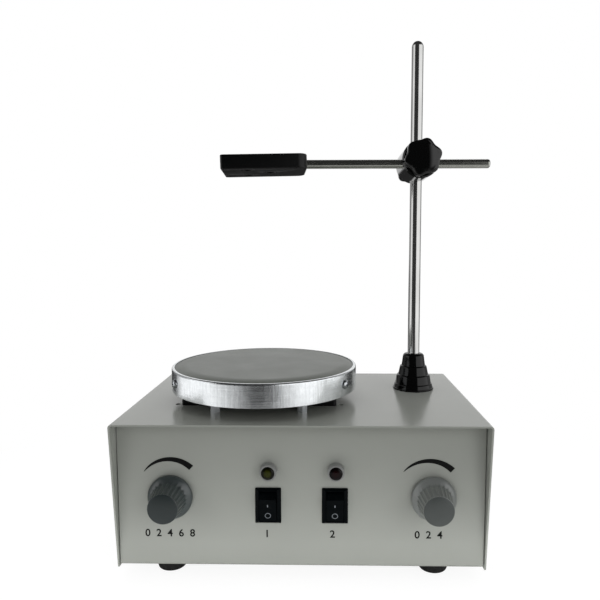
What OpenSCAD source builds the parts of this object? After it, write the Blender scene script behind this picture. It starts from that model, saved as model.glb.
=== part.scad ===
// Heated magnetic stirrer with a support rod, a boss clamp, a cross arm and a holder plate.
// Millimetres. X runs to the right, Y to the back and Z up from the bench.
// Every sub-part is drawn from the housing's middle, the front panel's face and the bench,
// and placed() then moves it to the part's own origin, the middle of its footprint.

/* [Housing] */
// Width of the top cover over its side walls
cover_w = 215; // [208:1:230]
// Depth of the top cover, from the visor's edge to the back
cover_d = 135.7; // [130:0.1:150]
// Overhang of the cover's top in front of the panel
visor = 9.8; // [6:0.1:14]
// Overhang of the side walls in front of the panel at their foot
skirt_edge = 0.5; // [0.3:0.1:3]
// Height from the underside of the floor to the top of the cover
body_h = 87.2; // [84:0.1:100]
// Drop of the side walls below the floor
skirt_drop = 0.9; // [0:0.1:2]
// Thickness of the folded steel sheet
sheet_t = 1; // [0.8:0.1:1.5]
// Outer radius of the bends
bend_r = 2; // [1.6:0.1:4]
// Gap between the chassis and each side wall
side_gap = 0.5; // [0.3:0.1:1]
// Set-back of the rear panel from the cover's back edge
rear_inset = 1.5; // [0.5:0.1:4]
// Width of the folded flanges of the chassis
flange_w = 9; // [8:0.5:12]
// Height of the side flanges that take the cover's screws
side_flange_h = 13; // [11:0.5:16]
// Distance of the cover's screws from the front and rear panels
cover_screw_inset = 24; // [20:1:30]

/* [Feet] */
// Height of a rubber foot
foot_h = 9; // [8:0.1:12]
// Radius of a foot at its top
foot_r = 10.4; // [9:0.1:12]
// Radius of the flat that a foot stands on
foot_flat_r = 7; // [6:0.1:8]
// Distance of the feet from the middle plane
foot_x = 79.8; // [70:0.1:88]
// Distance of the feet from the front and rear panels
foot_inset = 17; // [14:0.5:22]

/* [Hot plate] */
// Outer radius of the aluminium rim
rim_r = 60; // [57:0.5:64]
// Height of the rim
rim_h = 14.1; // [13.6:0.1:18]
// Height of the rim's lower edge above the cover
rim_lift = 8.3; // [7.5:0.1:9]
// Wall thickness of the rim
rim_t = 1.2; // [1:0.1:1.6]
// Width of the lip that the rim folds over the plate
lip_w = 1.8; // [1.6:0.1:3]
// Thickness of that lip
lip_t = 0.6; // [0.5:0.1:1]
// Middle of the plate to the right of the housing's middle
plate_x = -25.8; // [-30:0.1:-20]
// Middle of the plate behind the front panel
plate_y = 54.3; // [52:0.1:60]
// Height of the plate's flat middle above the lip
plate_proud = 0.9; // [0.1:0.1:1.2]
// Width of the sloped band round the plate's edge
plate_band = 8; // [4:0.5:10]
// Thickness of the plate under its edge
plate_edge_t = 4.2; // [3:0.1:5]
// Number of screws round the rim
rim_screws_n = 3; // [3:1:4]
// Height of the underside of the heat shield above the cover
shield_lift = 9; // [8.6:0.1:10]
// Thickness of the heat shield's sheet
shield_t = 1; // [0.8:0.1:1.2]
// Thickness of each mica sheet
mica_t = 0.5; // [0.3:0.1:0.8]
// Thickness of the heating element
heater_t = 1.2; // [0.8:0.1:1.6]
// Offset of the posts from the plate's middle to each side
post_dx = 26.3; // [24:0.1:30]
// Offset of the posts from the plate's middle to front and back
post_dy = 35.6; // [32:0.1:38]

/* [Stirrer drive] */
// Width of the insulating block under the plate
block_w = 97; // [94:0.5:100]
// Depth of the insulating block
block_d = 46.6; // [46:0.1:50]
// Offset of the insulating block from the plate's middle
block_shift = -1.6; // [-3:0.1:3]
// Radius of the magnet holder
holder_r = 19.5; // [18:0.1:20.5]
// Height of the magnet holder
holder_h = 7; // [6:0.1:8]
// Radial space round the magnet holder in its well
well_gap = 1.5; // [1:0.1:2]
// Radius of a drive magnet
magnet_r = 5.5; // [4:0.1:6]
// Height of a drive magnet
magnet_h = 5; // [3:0.1:5.5]
// Distance of the magnets from the shaft
magnet_arm = 12; // [10:0.1:13]
// Radius of the motor's case
motor_r = 21; // [18:0.5:22]
// Length of the motor's case
motor_l = 44; // [36:1:46]
// Radius of the motor's shaft
motor_shaft_r = 2; // [1.5:0.1:2.5]
// Distance from the cover's underside down to the bracket's web
bracket_drop = 12; // [10:0.5:14]
// Thickness of the bracket
bracket_t = 1.5; // [1:0.1:2]

/* [Controls] */
// Shift of the controls to the right of the housing's middle
panel_cx = 0.5; // [0:0.1:1]
// Distance of each dial from the controls' middle
dial_dx = 75.9; // [70:0.1:80]
// Height of the dials below the cover's top
dial_drop = 45.1; // [42:0.1:50]
// Length of a knob in front of the panel
knob_len = 18; // [16:0.5:22]
// Radius of a knob's skirt
knob_skirt_r = 13; // [12:0.1:14]
// Radius of a knob's barrel next to its skirt
knob_barrel_r = 9.9; // [9.5:0.1:11]
// Radius of a knob's cap
knob_cap_r = 8.6; // [7.6:0.1:9]
// Number of flutes round a knob
flutes_n = 24; // [18:1:30]
// Gap between a knob and the panel
knob_gap = 0.8; // [0.5:0.1:1.5]
// Radius of a dial's shaft
dial_shaft_r = 3; // [2.5:0.1:3.1]
// Distance of each rocker switch from the controls' middle
switch_dx = 19.3; // [17:0.1:24]
// Height of the switches' middle below the cover's top
switch_drop = 50.2; // [48:0.1:56]
// Width of a switch's frame
switch_w = 15; // [14:0.1:16]
// Height of a switch's frame
switch_h = 21; // [20:0.1:23]
// Angle that a rocker leans either way
rocker_tilt = 15; // [10:0.5:15]
// Distance of each lamp from the controls' middle
lamp_dx = 19.4; // [17:0.1:24]
// Sideways shift of the lamps against the switches
lamp_shift = 0.4; // [0:0.1:1]
// Height of the lamps below the cover's top
lamp_drop = 29.4; // [26:0.1:31]
// Radius of a lamp's collar
lamp_r = 4.9; // [4.5:0.1:6]
// Radius of a lamp's lens
lens_r = 3.8; // [3:0.1:4]
// Length of a lamp in front of the panel
lamp_len = 6; // [4:0.1:7]

/* [Rear fittings] */
// Middle of the mains inlet to the right of the housing's middle
inlet_x = 58; // [50:1:64]
// Height of the inlet's middle above the floor
inlet_lift = 36; // [28:1:44]
// Middle of the fuse holder to the right of the housing's middle
fuse_x = 14; // [6:1:24]
// Length of the fuse cap's grip
fuse_grip_l = 9; // [7:0.5:12]
// Number of vent slots in the rear panel
vents_n = 8; // [5:1:9]

/* [Support rod and clamp] */
// Radius of the support rod
rod_r = 4; // [3.5:0.1:4.5]
// Middle of the rod to the right of the housing's middle
rod_x = 75.9; // [70:0.1:80]
// Middle of the rod behind the front panel
rod_y = 79.5; // [74:0.5:84]
// Height of the rod above the cover
rod_h = 236; // [215:0.1:300]
// Radius of the boot at its foot
boot_r = 14; // [13:0.1:16]
// Height of the boot
boot_h = 25; // [22:0.5:30]
// Height of the clamp's axis above the cover
clamp_lift = 155.3; // [142:0.1:170]
// Radius of the clamp's body
clamp_r = 12.2; // [11:0.1:13]
// Front end of the clamp's body behind the front panel
clamp_front = 57; // [54:0.1:58]
// Length of the clamp's body behind the rod's middle
clamp_back = 12.5; // [10:0.5:15]
// Radius of a clamping knob over its lobes
star_r = 12.1; // [11:0.1:13]
// Thickness of a clamping knob
star_t = 8; // [6:0.5:10]
// Free length of screw between a clamping knob and the clamp
star_gap = 1.5; // [1:0.1:4]
// Radius of a clamping screw
clamp_screw_r = 2.5; // [2:0.1:2.6]

/* [Arm and holder] */
// Radius of the cross arm
arm_r = 2.9; // [2.4:0.1:2.9]
// Middle of the arm behind the front panel
arm_y = 63.5; // [63:0.1:64.5]
// Drop of the arm below the clamp's axis
arm_drop = 2.4; // [0:0.1:2.6]
// Right end of the arm to the right of the housing's middle
arm_end = 121.5; // [112:0.5:140]
// Right end of the holder plate
plate_end = 1.2; // [-4:0.1:6]
// Length of the holder plate
grip_l = 54; // [48:0.5:60]
// Depth of the holder plate
grip_d = 43; // [40:0.5:48]
// Thickness of the holder plate
grip_t = 9; // [9:0.1:11]
// Turn of the holder on its arm, seen from above
holder_yaw = 5; // [0:0.5:6]
// Droop of the holder's free end
holder_droop = 1.5; // [0:0.1:2]
// Height of the arm above the middle of the holder's right end
holder_seat = 0.4; // [0:0.1:0.5]
// Radius of the round hole in the middle
eye_r = 4.3; // [3.5:0.1:5]
// Radius of the two slit holes
jaw_r = 3.8; // [3:0.1:4.2]
// Width of the slits
slit_w = 1.6; // [1.2:0.1:2]

/* [Hidden] */
$fn = 64;

// Clearances: round a screw in its hole, round a turning or sliding part, and end to end
fit = 0.1;
run = 0.05;
tip_gap = 0.15;
eps = 0.01;

// Heights above the bench and depths behind the front panel
floor_z = foot_h;
deck_z = floor_z + sheet_t;
top_z = floor_z + body_h;
under_z = top_z - sheet_t;
back_y = cover_d - visor;
rear_y = back_y - rear_inset;
chassis_w = cover_w - 2 * (sheet_t + side_gap);
skirt_z = floor_z - skirt_drop;
foot_recess = foot_h / 2;

// M3 hardware: shank, head radius, head height, nut width and nut height
m3_r = 1.5;
m3_head_r = 2.9;
m3_head_h = 2.1;
m3_nut_w = 5.5;
m3_nut_h = 2.4;
m4_r = 2;
m4_head_r = 3.6;
m4_head_h = 2.6;

// Cover's screws
cover_screw_z = deck_z + side_flange_h / 2;
cover_screw_ys = [cover_screw_inset, rear_y - cover_screw_inset];
flange_face_x = chassis_w / 2;

// Heating stack, from the shield up to the plate
shield_z = top_z + shield_lift;
rim_z = top_z + rim_lift;
rim_top = rim_z + rim_h;
shield_r = rim_r - rim_t - 0.4;
plate_top = rim_top + plate_proud;
plate_under = rim_top - lip_t - plate_edge_t;
mica_top = plate_under;
heater_top = mica_top - mica_t;
heater_z = heater_top - heater_t;
pad_z = shield_z + shield_t;
pad_top = heater_z - mica_t;
rim_screw_l = rim_r - shield_r + shield_t + 1;
pad_r = rim_r - rim_screw_l - 0.4;
plate_r = rim_r - rim_t - 0.2;
rim_screw_z = rim_z + rim_h / 2;
shield_h = plate_under - shield_z;
post_h = shield_lift;
lead_x = plate_x;
lead_y = plate_y + 34;
lead_hole_r = 4.5;
grommet_r = 5;
sensor_r = 2.2;
sensor_dy = 1.6;
posts = [for (i = [-1, 1], j = [-1, 1]) [plate_x + i * post_dx, plate_y + j * post_dy]];

// Drive, from the bracket up to the magnets
well_r = holder_r + well_gap;
holder_z = top_z + 0.5;
shaft_hole_r = 8;
web_z = under_z - bracket_drop;
bracket_in = well_r + 3;
block_screw_dx = block_w / 2 - 10;
block_screw_dy = block_d / 2 - 8;
vent_dx = block_w / 2 + 2.8;
vent_dy = block_d / 2 - 3;
vent_r = 1.8;
block_x = plate_x + block_shift;
block_screws_at = [for (i = [-1, 1], j = [-1, 1])
    [block_x + i * block_screw_dx, plate_y + j * block_screw_dy]];
motor_top = web_z - bracket_t;
motor_boss_r = 6;
motor_screw_arm = 14;

// Controls
dial_z = top_z - dial_drop;
dial_xs = [panel_cx - dial_dx, panel_cx + dial_dx];
bush_r = 3.6;
bush_l = 5;
pot_r = 12;
pot_d = 11;
pot_nut_w = 10;
pot_nut_h = 2.2;
shaft_l = 13;
switch_z = top_z - switch_drop;
switch_xs = [panel_cx - switch_dx, panel_cx + switch_dx];
switch_body_w = switch_w - 2;
switch_body_h = switch_h - 2;
switch_body_d = 15;
frame_t = 2;
frame_edge_t = 0.5;
frame_lip = 0.4;
rocker_w = switch_body_w - 3.2;
rocker_pivot = 2.4;
rocker_front = rocker_pivot + frame_t - 0.2;
rocker_skirt = 1.7;
rocker_half = switch_body_h / 2 - 0.7;
rocker_gap = 0.2;
axle_r = 1.2;
lamp_z = top_z - lamp_drop;
lamp_xs = [panel_cx + lamp_shift - lamp_dx, panel_cx + lamp_shift + lamp_dx];
lamp_barrel_r = 4.1;

// Rear fittings
inlet_z = deck_z + inlet_lift;
inlet_flange_w = 50;
inlet_flange_h = 24;
inlet_flange_t = 3;
inlet_body_w = 27.4;
inlet_body_h = 20;
inlet_d = 20;
socket_w = 24.2;
socket_h = 16.8;
socket_d = 16;
inlet_screw_dx = 20;
fuse_r = 6.4;
fuse_flange_r = 8.6;
fuse_flange_t = 2;
fuse_body_l = 32;
fuse_stem_r = 4.4;
cartridge_r = 2.6;
cartridge_l = 20;
vent_w = 2.5;
vent_h = 24;
vent_pitch = 6;
vent_x = -64;

// Board
board_x0 = 8;
board_y0 = 32;
board_w = 84;
board_d = 58;
board_t = 1.6;
board_lift = 6;
board_z = deck_z + board_lift;
board_top = board_z + board_t;
sink_at = 22;
sink_step = 38;
sink_xs = [board_x0 + sink_at, board_x0 + sink_at + sink_step];
sink_y = board_y0 + 36;
way_pitch = 5;
front_block_x = board_x0 + 48.3;
front_block_y = board_y0 + 6;
rear_block_at = 62;
rear_block_x = board_x0 + rear_block_at;
rear_block_y = board_y0 + board_d - 1;
way_z = board_top + 3.5;
earth_tab_y = board_y0 + board_d + 1.2;
sink_w = 28;
sink_h = 24;
sink_base_t = 2;
fin_l = 8;
fin_t = 1.2;
fin_pitch = 4;
triac_w = 10;
triac_d = 4.5;
triac_h = 9.5;
triac_tab_t = 1.2;
triac_tab_h = 6;
triac_leg_l = 6;
triac_leg_w = 0.8;
capacitor_w = 7;
capacitor_d = 16;
capacitor_h = 13;
block_row_d = 9;
block_row_h = 11;
way_w = 3.2;
way_h = 4;
way_screw_r = 1.6;
board_holes = [for (i = [4, board_w - 4], j = [4, board_d - 4]) [board_x0 + i, board_y0 + j]];

// Rod, clamp, arm and holder
rod_top = top_z + rod_h;
rod_tail = 18;
rod_nut_w = 13;
rod_nut_h = 6.5;
clamp_z = top_z + clamp_lift;
clamp_end = rod_y + clamp_back;
arm_z = clamp_z - arm_drop;
star_front = clamp_front - star_gap - star_t;
star_back = clamp_end + star_gap;
lobe_h = 0.8;
lobe_turn = 15.4;
arm_sunk = 15;
arm_start = plate_end - arm_sunk;
eye_x = -23.5;
jaw_x = -37.8;
jaw_dy = 12.5;
end_r = 6;

// The part's origin in this drawing: the middle of its outermost points
left_x = -cover_w / 2 - m3_head_h;
right_x = max(cover_w / 2 + m3_head_h, arm_end);
origin_x = (left_x + right_x) / 2;
front_y = -max(knob_len, visor);
last_y = rear_y + fuse_flange_t + fuse_grip_l;
origin_y = (front_y + last_y) / 2;

module placed() translate([-origin_x, -origin_y, 0]) children();

// Turn a shape drawn along +Z towards the front, the back, the left or the right
module to_front() rotate([90, 0, 0]) children();
module to_back() rotate([-90, 0, 0]) children();
module to_left() rotate([0, -90, 0]) children();
module to_right() rotate([0, 90, 0]) children();

// Points along an arc round a centre
function arc(c, r, a0, a1, n = 6) =
    [for (i = [0:n]) let (a = a0 + (a1 - a0) * i / n) c + r * [cos(a), sin(a)]];

// A round shape from a profile of [radius, height] points
module turned(points) rotate_extrude() polygon(points);

module tube(r, bore, h) difference() {
    cylinder(r = r, h = h);
    translate([0, 0, -eps]) cylinder(r = bore, h = h + 2 * eps);
}

// A rectangle whose two upper corners are round
module round_top(w, h, r) {
    translate([-w / 2, 0]) square([w, h - r]);
    translate([-w / 2 + r, 0]) square([w - 2 * r, h]);
    for (s = [-1, 1]) translate([s * (w / 2 - r), h - r]) circle(r);
}

// A rectangle with four round corners, in its middle
module round_rect(w, h, r) {
    square([w, h - 2 * r], center = true);
    square([w - 2 * r, h], center = true);
    for (i = [-1, 1], j = [-1, 1]) translate([i * (w / 2 - r), j * (h / 2 - r)]) circle(r);
}

// A pan-head screw with a cross recess: the head stands on z = 0 and the shank hangs below it
module pan_screw(r, l, head_r, head_h) {
    recess_w = head_r * 0.34;
    difference() {
        turned(concat([[0, 0], [head_r, 0]], [for (p = arc([0, 0], 1, 12, 90))
            [head_r * p[0], head_h * p[1]]]));
        for (a = [0, 90]) rotate([0, 0, a])
            translate([-head_r * 0.55, -recess_w / 2, head_h * 0.45])
                cube([head_r * 1.1, recess_w, head_h]);
    }
    translate([0, 0, -l]) cylinder(r = r, h = l + eps, $fn = 32);
}

module m3_screw(l) pan_screw(m3_r, l, m3_head_r, m3_head_h);

// A hexagonal nut on z = 0, given by its width across flats
module hex_nut(w, h, bore) difference() {
    cylinder(r = w / 2 / cos(30), h = h, $fn = 6);
    translate([0, 0, -eps]) cylinder(r = bore, h = h + 2 * eps);
}

// Straight slot along Z in a sheet that faces Y
module vent_slot(w, h) {
    translate([0, 0, -h / 2]) to_back() translate([0, 0, -4]) cylinder(r = w / 2, h = 8, $fn = 24);
    translate([0, 0, h / 2]) to_back() translate([0, 0, -4]) cylinder(r = w / 2, h = 8, $fn = 24);
    translate([-w / 2, -4, -h / 2]) cube([w, 8, h]);
}

// HOUSING

// Folded U of front panel, floor and rear panel, seen from the right and drawn along X
module chassis_section() {
    r = bend_r;
    inner_r = bend_r - sheet_t;
    difference() {
        translate([rear_y / 2, under_z]) mirror([0, 1]) round_top(rear_y, under_z - floor_z, r);
        translate([rear_y / 2, under_z + 1]) mirror([0, 1])
            round_top(rear_y - 2 * sheet_t, under_z + 1 - deck_z, inner_r);
    }
    for (y = [0, rear_y - flange_w]) translate([y, under_z - sheet_t]) square([flange_w, sheet_t]);
}

module chassis() color([0.64, 0.65, 0.62]) placed() difference() {
    union() {
        translate([-chassis_w / 2, 0, 0]) rotate([90, 0, 90])
            linear_extrude(chassis_w) chassis_section();
        for (s = [-1, 1]) translate([s * (flange_face_x - sheet_t / 2) - sheet_t / 2, 2 * bend_r, deck_z - eps])
            cube([sheet_t, rear_y - 4 * bend_r, side_flange_h + eps]);
        translate([inlet_x - 3, earth_tab_y, deck_z - eps]) cube([6, 0.8, 8]);
    }
    for (s = [-1, 1]) translate([s * chassis_w / 2 - bend_r + sheet_t, -1, under_z - bend_r + sheet_t])
        cube([2 * (bend_r - sheet_t), rear_y + 2, bend_r]);
    for (x = dial_xs) translate([x, -1, dial_z]) to_back() cylinder(r = bush_r + fit, h = sheet_t + 2);
    for (x = lamp_xs) translate([x, -1, lamp_z]) to_back()
        cylinder(r = lamp_barrel_r + fit, h = sheet_t + 2);
    for (x = switch_xs)
        translate([x - switch_body_w / 2 - fit, -1, switch_z - switch_body_h / 2 - fit])
            cube([switch_body_w + 2 * fit, sheet_t + 2, switch_body_h + 2 * fit]);
    translate([inlet_x - inlet_body_w / 2 - fit, rear_y - sheet_t - 1, inlet_z - inlet_body_h / 2 - fit])
        cube([inlet_body_w + 2 * fit, sheet_t + 2, inlet_body_h + 2 * fit]);
    for (s = [-1, 1]) translate([inlet_x + s * inlet_screw_dx, rear_y + 1, inlet_z]) to_front()
        cylinder(r = m3_r + fit, h = sheet_t + 2);
    translate([fuse_x, rear_y + 1, inlet_z]) to_front() cylinder(r = fuse_r + fit, h = sheet_t + 2);
    for (i = [0:vents_n - 1]) translate([vent_x + (i - (vents_n - 1) / 2) * vent_pitch, rear_y, inlet_z])
        vent_slot(vent_w, vent_h);
    for (i = [0:vents_n - 1])
        translate([plate_x + (i - (vents_n - 1) / 2) * vent_pitch, plate_y, floor_z])
            rotate([90, 0, 0]) vent_slot(vent_w, vent_h);
    for (x = [-foot_x, foot_x], y = [foot_inset, rear_y - foot_inset])
        translate([x, y, floor_z - 1]) cylinder(r = m3_r + fit, h = sheet_t + 2);
    for (p = board_holes) translate([p[0], p[1], floor_z - 1]) cylinder(r = m3_r + fit, h = sheet_t + 2);
    for (y = cover_screw_ys) translate([-cover_w, y, cover_screw_z]) to_right()
        cylinder(r = m3_r + fit, h = 2 * cover_w);
}

// Inverted U of left wall, top and right wall, with walls that slant back below the visor
module top_cover() color([0.68, 0.69, 0.66]) placed() difference() {
    translate([0, back_y, skirt_z]) to_front() linear_extrude(cover_d) difference() {
        round_top(cover_w, top_z - skirt_z, bend_r);
        translate([0, -1]) round_top(cover_w - 2 * sheet_t, under_z - skirt_z + 1, bend_r - sheet_t);
    }
    translate([-cover_w, 0, 0]) rotate([90, 0, 90]) linear_extrude(2 * cover_w) polygon([
        [-visor - 1, top_z - bend_r], [-visor, top_z - bend_r], [-skirt_edge, skirt_z],
        [-skirt_edge, skirt_z - 1], [-visor - 1, skirt_z - 1]]);
    translate([plate_x, plate_y, under_z - 1]) cylinder(r = shaft_hole_r, h = sheet_t + 2);
    for (p = posts) translate([p[0], p[1], under_z - 1]) cylinder(r = m3_r + fit, h = sheet_t + 2);
    for (p = block_screws_at) translate([p[0], p[1], under_z - 1])
        cylinder(r = m4_r + fit, h = sheet_t + 2);
    translate([rod_x, rod_y, under_z - 1]) cylinder(r = rod_r + fit, h = sheet_t + 2);
    for (i = [-1, 1], j = [-1, 1])
        translate([block_x + i * vent_dx, plate_y + j * vent_dy, under_z - 1])
            cylinder(r = vent_r, h = sheet_t + 2);
    translate([lead_x, lead_y, under_z - 1]) cylinder(r = grommet_r, h = sheet_t + 2);
    for (y = cover_screw_ys) translate([-cover_w, y, cover_screw_z]) to_right()
        cylinder(r = m3_r + fit, h = 2 * cover_w);
}

module cover_screws() color([0.75, 0.75, 0.76]) placed() for (y = cover_screw_ys, s = [0, 1])
    mirror([s, 0, 0]) translate([cover_w / 2, y, cover_screw_z]) to_right() m3_screw(7);

module rubber_feet() color([0.07, 0.07, 0.07]) placed()
    for (x = [-foot_x, foot_x], y = [foot_inset, rear_y - foot_inset])
        translate([x, y, 0]) difference() {
            turned(concat([[0, 0], [foot_flat_r, 0]],
                arc([foot_flat_r, 1.6], 1.6, -90, -20, 4),
                [[foot_r, foot_h - 1.2], [foot_r, foot_h], [0, foot_h]]));
            translate([0, 0, -eps]) cylinder(r = m3_head_r + 0.6, h = foot_recess + eps);
            cylinder(r = m3_r + fit, h = foot_h + 1);
        }

module foot_screws() color([0.7, 0.7, 0.72]) placed()
    for (x = [-foot_x, foot_x], y = [foot_inset, rear_y - foot_inset])
        translate([x, y, foot_recess]) mirror([0, 0, 1])
            m3_screw(foot_h - foot_recess + sheet_t + m3_nut_h + 0.8);

// Nuts of the feet, of the cover's screws and of the posts' studs
module m3_nuts() color([0.78, 0.78, 0.78]) placed() {
    for (x = [-foot_x, foot_x], y = [foot_inset, rear_y - foot_inset])
        translate([x, y, deck_z]) hex_nut(m3_nut_w, m3_nut_h, m3_r + fit / 2);
    for (y = cover_screw_ys, s = [0, 1]) mirror([s, 0, 0])
        translate([flange_face_x - sheet_t, y, cover_screw_z]) to_left()
            hex_nut(m3_nut_w, m3_nut_h, m3_r + fit / 2);
    for (p = posts) {
        translate([p[0], p[1], under_z - m3_nut_h]) hex_nut(m3_nut_w, m3_nut_h, m3_r + fit / 2);
        translate([p[0], p[1], pad_z]) hex_nut(m3_nut_w, m3_nut_h, m3_r + fit / 2);
    }
    for (s = [-1, 1]) translate([inlet_x + s * inlet_screw_dx, rear_y - sheet_t, inlet_z]) to_front()
        hex_nut(m3_nut_w, m3_nut_h, m3_r + fit / 2);
}

// HOT PLATE

// Cast plate with a flat middle and a band that slopes down under the rim's lip
module hot_plate() color([0.52, 0.53, 0.51]) placed() difference() {
    edge = rim_top - lip_t;
    flat_r = rim_r - lip_w - plate_band;
    drop = plate_top - edge;
    translate([plate_x, plate_y, 0]) turned(concat(
        [[0, plate_under], [plate_r, plate_under], [plate_r, edge], [rim_r - lip_w, edge]],
        [for (i = [9:-1:0]) let (t = i / 10)
            [flat_r + plate_band * t, edge + drop * (1 - t * t)]],
        [[0, plate_top]]));
    translate([lead_x, lead_y + sensor_dy, plate_under - 1]) cylinder(r = sensor_r + fit, h = 3.5);
}

// Spun rim whose rounded upper edge folds over the plate
module plate_rim() color([0.8, 0.81, 0.82]) placed() translate([plate_x, plate_y, 0]) difference() {
    r = rim_r;
    fold = lip_t + 0.5;
    turned(concat([[r - rim_t, rim_z], [r, rim_z]],
        arc([r - fold, rim_top - fold], fold, 0, 90),
        [[r - lip_w, rim_top], [r - lip_w, rim_top - lip_t], [r - rim_t, rim_top - lip_t]]));
    for (i = [0:rim_screws_n - 1]) rotate([0, 0, 90 + i * 360 / rim_screws_n])
        translate([0, 0, rim_screw_z]) to_right() cylinder(r = m3_r + fit, h = rim_r + 1);
}

module rim_screws() color([0.6, 0.62, 0.66]) placed() translate([plate_x, plate_y, 0])
    for (i = [0:rim_screws_n - 1]) rotate([0, 0, 90 + i * 360 / rim_screws_n])
        translate([rim_r, 0, rim_screw_z]) to_right() m3_screw(rim_screw_l);

module heater_element() color([0.45, 0.42, 0.38]) placed() difference() {
    translate([plate_x, plate_y, heater_z]) tube(pad_r - 2, 8, heater_t);
    translate([lead_x, lead_y + sensor_dy, heater_z - 1]) cylinder(r = sensor_r + 0.3, h = heater_t + 2);
}

module mica_sheets() color([0.75, 0.68, 0.5]) placed() {
    difference() {
        translate([plate_x, plate_y, heater_top]) cylinder(r = pad_r, h = mica_t);
        translate([lead_x, lead_y + sensor_dy, heater_top - 1]) cylinder(r = sensor_r + 0.3, h = mica_t + 2);
    }
    difference() {
        translate([plate_x, plate_y, pad_top]) cylinder(r = pad_r, h = mica_t);
        translate([lead_x, lead_y, pad_top - 1]) cylinder(r = lead_hole_r, h = mica_t + 2);
    }
}

// Sensor that stands in a blind hole of the plate
module temperature_sensor() color([0.78, 0.78, 0.76]) placed()
    translate([lead_x, lead_y + sensor_dy, pad_z + 1]) cylinder(r = sensor_r, h = plate_under + 2.3 - pad_z - 1);

module insulation_pad() color([0.93, 0.92, 0.88]) placed() difference() {
    translate([plate_x, plate_y, pad_z]) cylinder(r = pad_r, h = pad_top - pad_z);
    for (p = posts) translate([p[0], p[1], pad_z - 1]) cylinder(r = m3_nut_w / 2 + 1.2, h = m3_nut_h + 2.6);
    translate([lead_x, lead_y, pad_z - 1]) cylinder(r = lead_hole_r, h = pad_top - pad_z + 2);
}

// Pan that closes the plate from below and takes the rim's screws in its wall
module heat_shield() color([0.72, 0.72, 0.72]) placed() difference() {
    translate([plate_x, plate_y, 0]) difference() {
        translate([0, 0, shield_z]) cylinder(r = shield_r, h = shield_h);
        translate([0, 0, pad_z]) cylinder(r = shield_r - shield_t, h = shield_h);
        for (i = [0:rim_screws_n - 1]) rotate([0, 0, 90 + i * 360 / rim_screws_n])
            translate([0, 0, rim_screw_z]) to_right() cylinder(r = m3_r + fit, h = rim_r + 1);
    }
    for (p = posts) translate([p[0], p[1], shield_z - 1]) cylinder(r = m3_r + fit, h = shield_t + 2);
    translate([lead_x, lead_y, shield_z - 1]) cylinder(r = lead_hole_r, h = shield_t + 2);
}

// Hexagonal posts with a stud at each end
module plate_posts() color([0.8, 0.8, 0.8]) placed() for (p = posts) translate([p[0], p[1], 0]) {
    translate([0, 0, top_z]) rotate([0, 0, 30]) cylinder(r = m3_nut_w / 2 / cos(30), h = post_h, $fn = 6);
    translate([0, 0, under_z - m3_nut_h - 0.6])
        cylinder(r = m3_r, h = shield_z + shield_t + 2 * m3_nut_h - under_z + 1.2, $fn = 32);
}

// Grooved ring that lines the hole where the leads pass the cover
module lead_grommet() color([0.09, 0.09, 0.09]) placed() translate([lead_x, lead_y, under_z])
    turned([[grommet_r - 1.1, -2], [grommet_r + 1.4, -2], [grommet_r + 1.4, 0], [grommet_r - fit, 0],
        [grommet_r - fit, sheet_t], [grommet_r + 1.4, sheet_t], [grommet_r + 1.4, sheet_t + 2],
        [grommet_r - 1.1, sheet_t + 2]]);

// STIRRER DRIVE

// Moulded block between the cover and the shield, with the well that the magnets turn in
module insulating_block() color([0.08, 0.08, 0.08]) placed() difference() {
    translate([block_x, plate_y, top_z]) linear_extrude(shield_lift) round_rect(block_w, block_d, 2);
    translate([plate_x, plate_y, top_z - 1]) cylinder(r = well_r, h = shield_lift + 2);
    for (p = block_screws_at) translate([p[0], p[1], top_z - 1]) cylinder(r = m4_r + fit, h = 8);
}

// Four screws through the bracket and the cover into the block, and two into the motor
module drive_screws() color([0.7, 0.7, 0.72]) placed() {
    for (p = block_screws_at) translate([p[0], p[1], under_z - bracket_t]) mirror([0, 0, 1])
        pan_screw(m4_r, bracket_t + sheet_t + 6, m4_head_r, m4_head_h);
    for (s = [-1, 1]) translate([plate_x + s * motor_screw_arm, plate_y, web_z]) m3_screw(bracket_t + 5);
}

// Hat-shaped bracket that hangs the motor under the cover
module motor_bracket() color([0.6, 0.61, 0.6]) placed() translate([plate_x, plate_y, 0]) difference() {
    union() {
        for (s = [0, 1]) mirror([s, 0, 0]) {
            translate([bracket_in, -block_d / 2, under_z - bracket_t])
                cube([block_w / 2 - bracket_in, block_d, bracket_t]);
            translate([bracket_in, -block_d / 2, web_z - bracket_t])
                cube([bracket_t, block_d, under_z - web_z + bracket_t]);
        }
        translate([-bracket_in - eps, -block_d / 2, web_z - bracket_t])
            cube([2 * bracket_in + 2 * eps, block_d, bracket_t]);
    }
    translate([0, 0, web_z - bracket_t - 1]) cylinder(r = motor_boss_r + fit, h = bracket_t + 2);
    for (s = [-1, 1]) translate([s * motor_screw_arm, 0, web_z - bracket_t - 1])
        cylinder(r = m3_r + fit, h = bracket_t + 2);
    for (p = block_screws_at)
        translate([p[0] - plate_x, p[1] - plate_y, under_z - bracket_t - 1])
            cylinder(r = m4_r + fit, h = bracket_t + 2);
}

module motor_case() color([0.45, 0.46, 0.48]) placed() translate([plate_x, plate_y, 0]) difference() {
    union() {
        turned(concat([[0, motor_top - motor_l]],
            arc([motor_r - 2, motor_top - motor_l + 2], 2, -90, 0),
            [[motor_r, motor_top], [motor_boss_r, motor_top],
             [motor_boss_r, motor_top + 3], [0, motor_top + 3]]));
        translate([0, 0, motor_top - motor_l - 3]) cylinder(r = 7, h = 3 + eps);
    }
    translate([0, 0, motor_top - motor_l + 4]) cylinder(r = motor_shaft_r + run, h = motor_l);
    for (s = [-1, 1]) translate([s * motor_screw_arm, 0, motor_top - 6])
        cylinder(r = m3_r + fit, h = 7);
}

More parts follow.
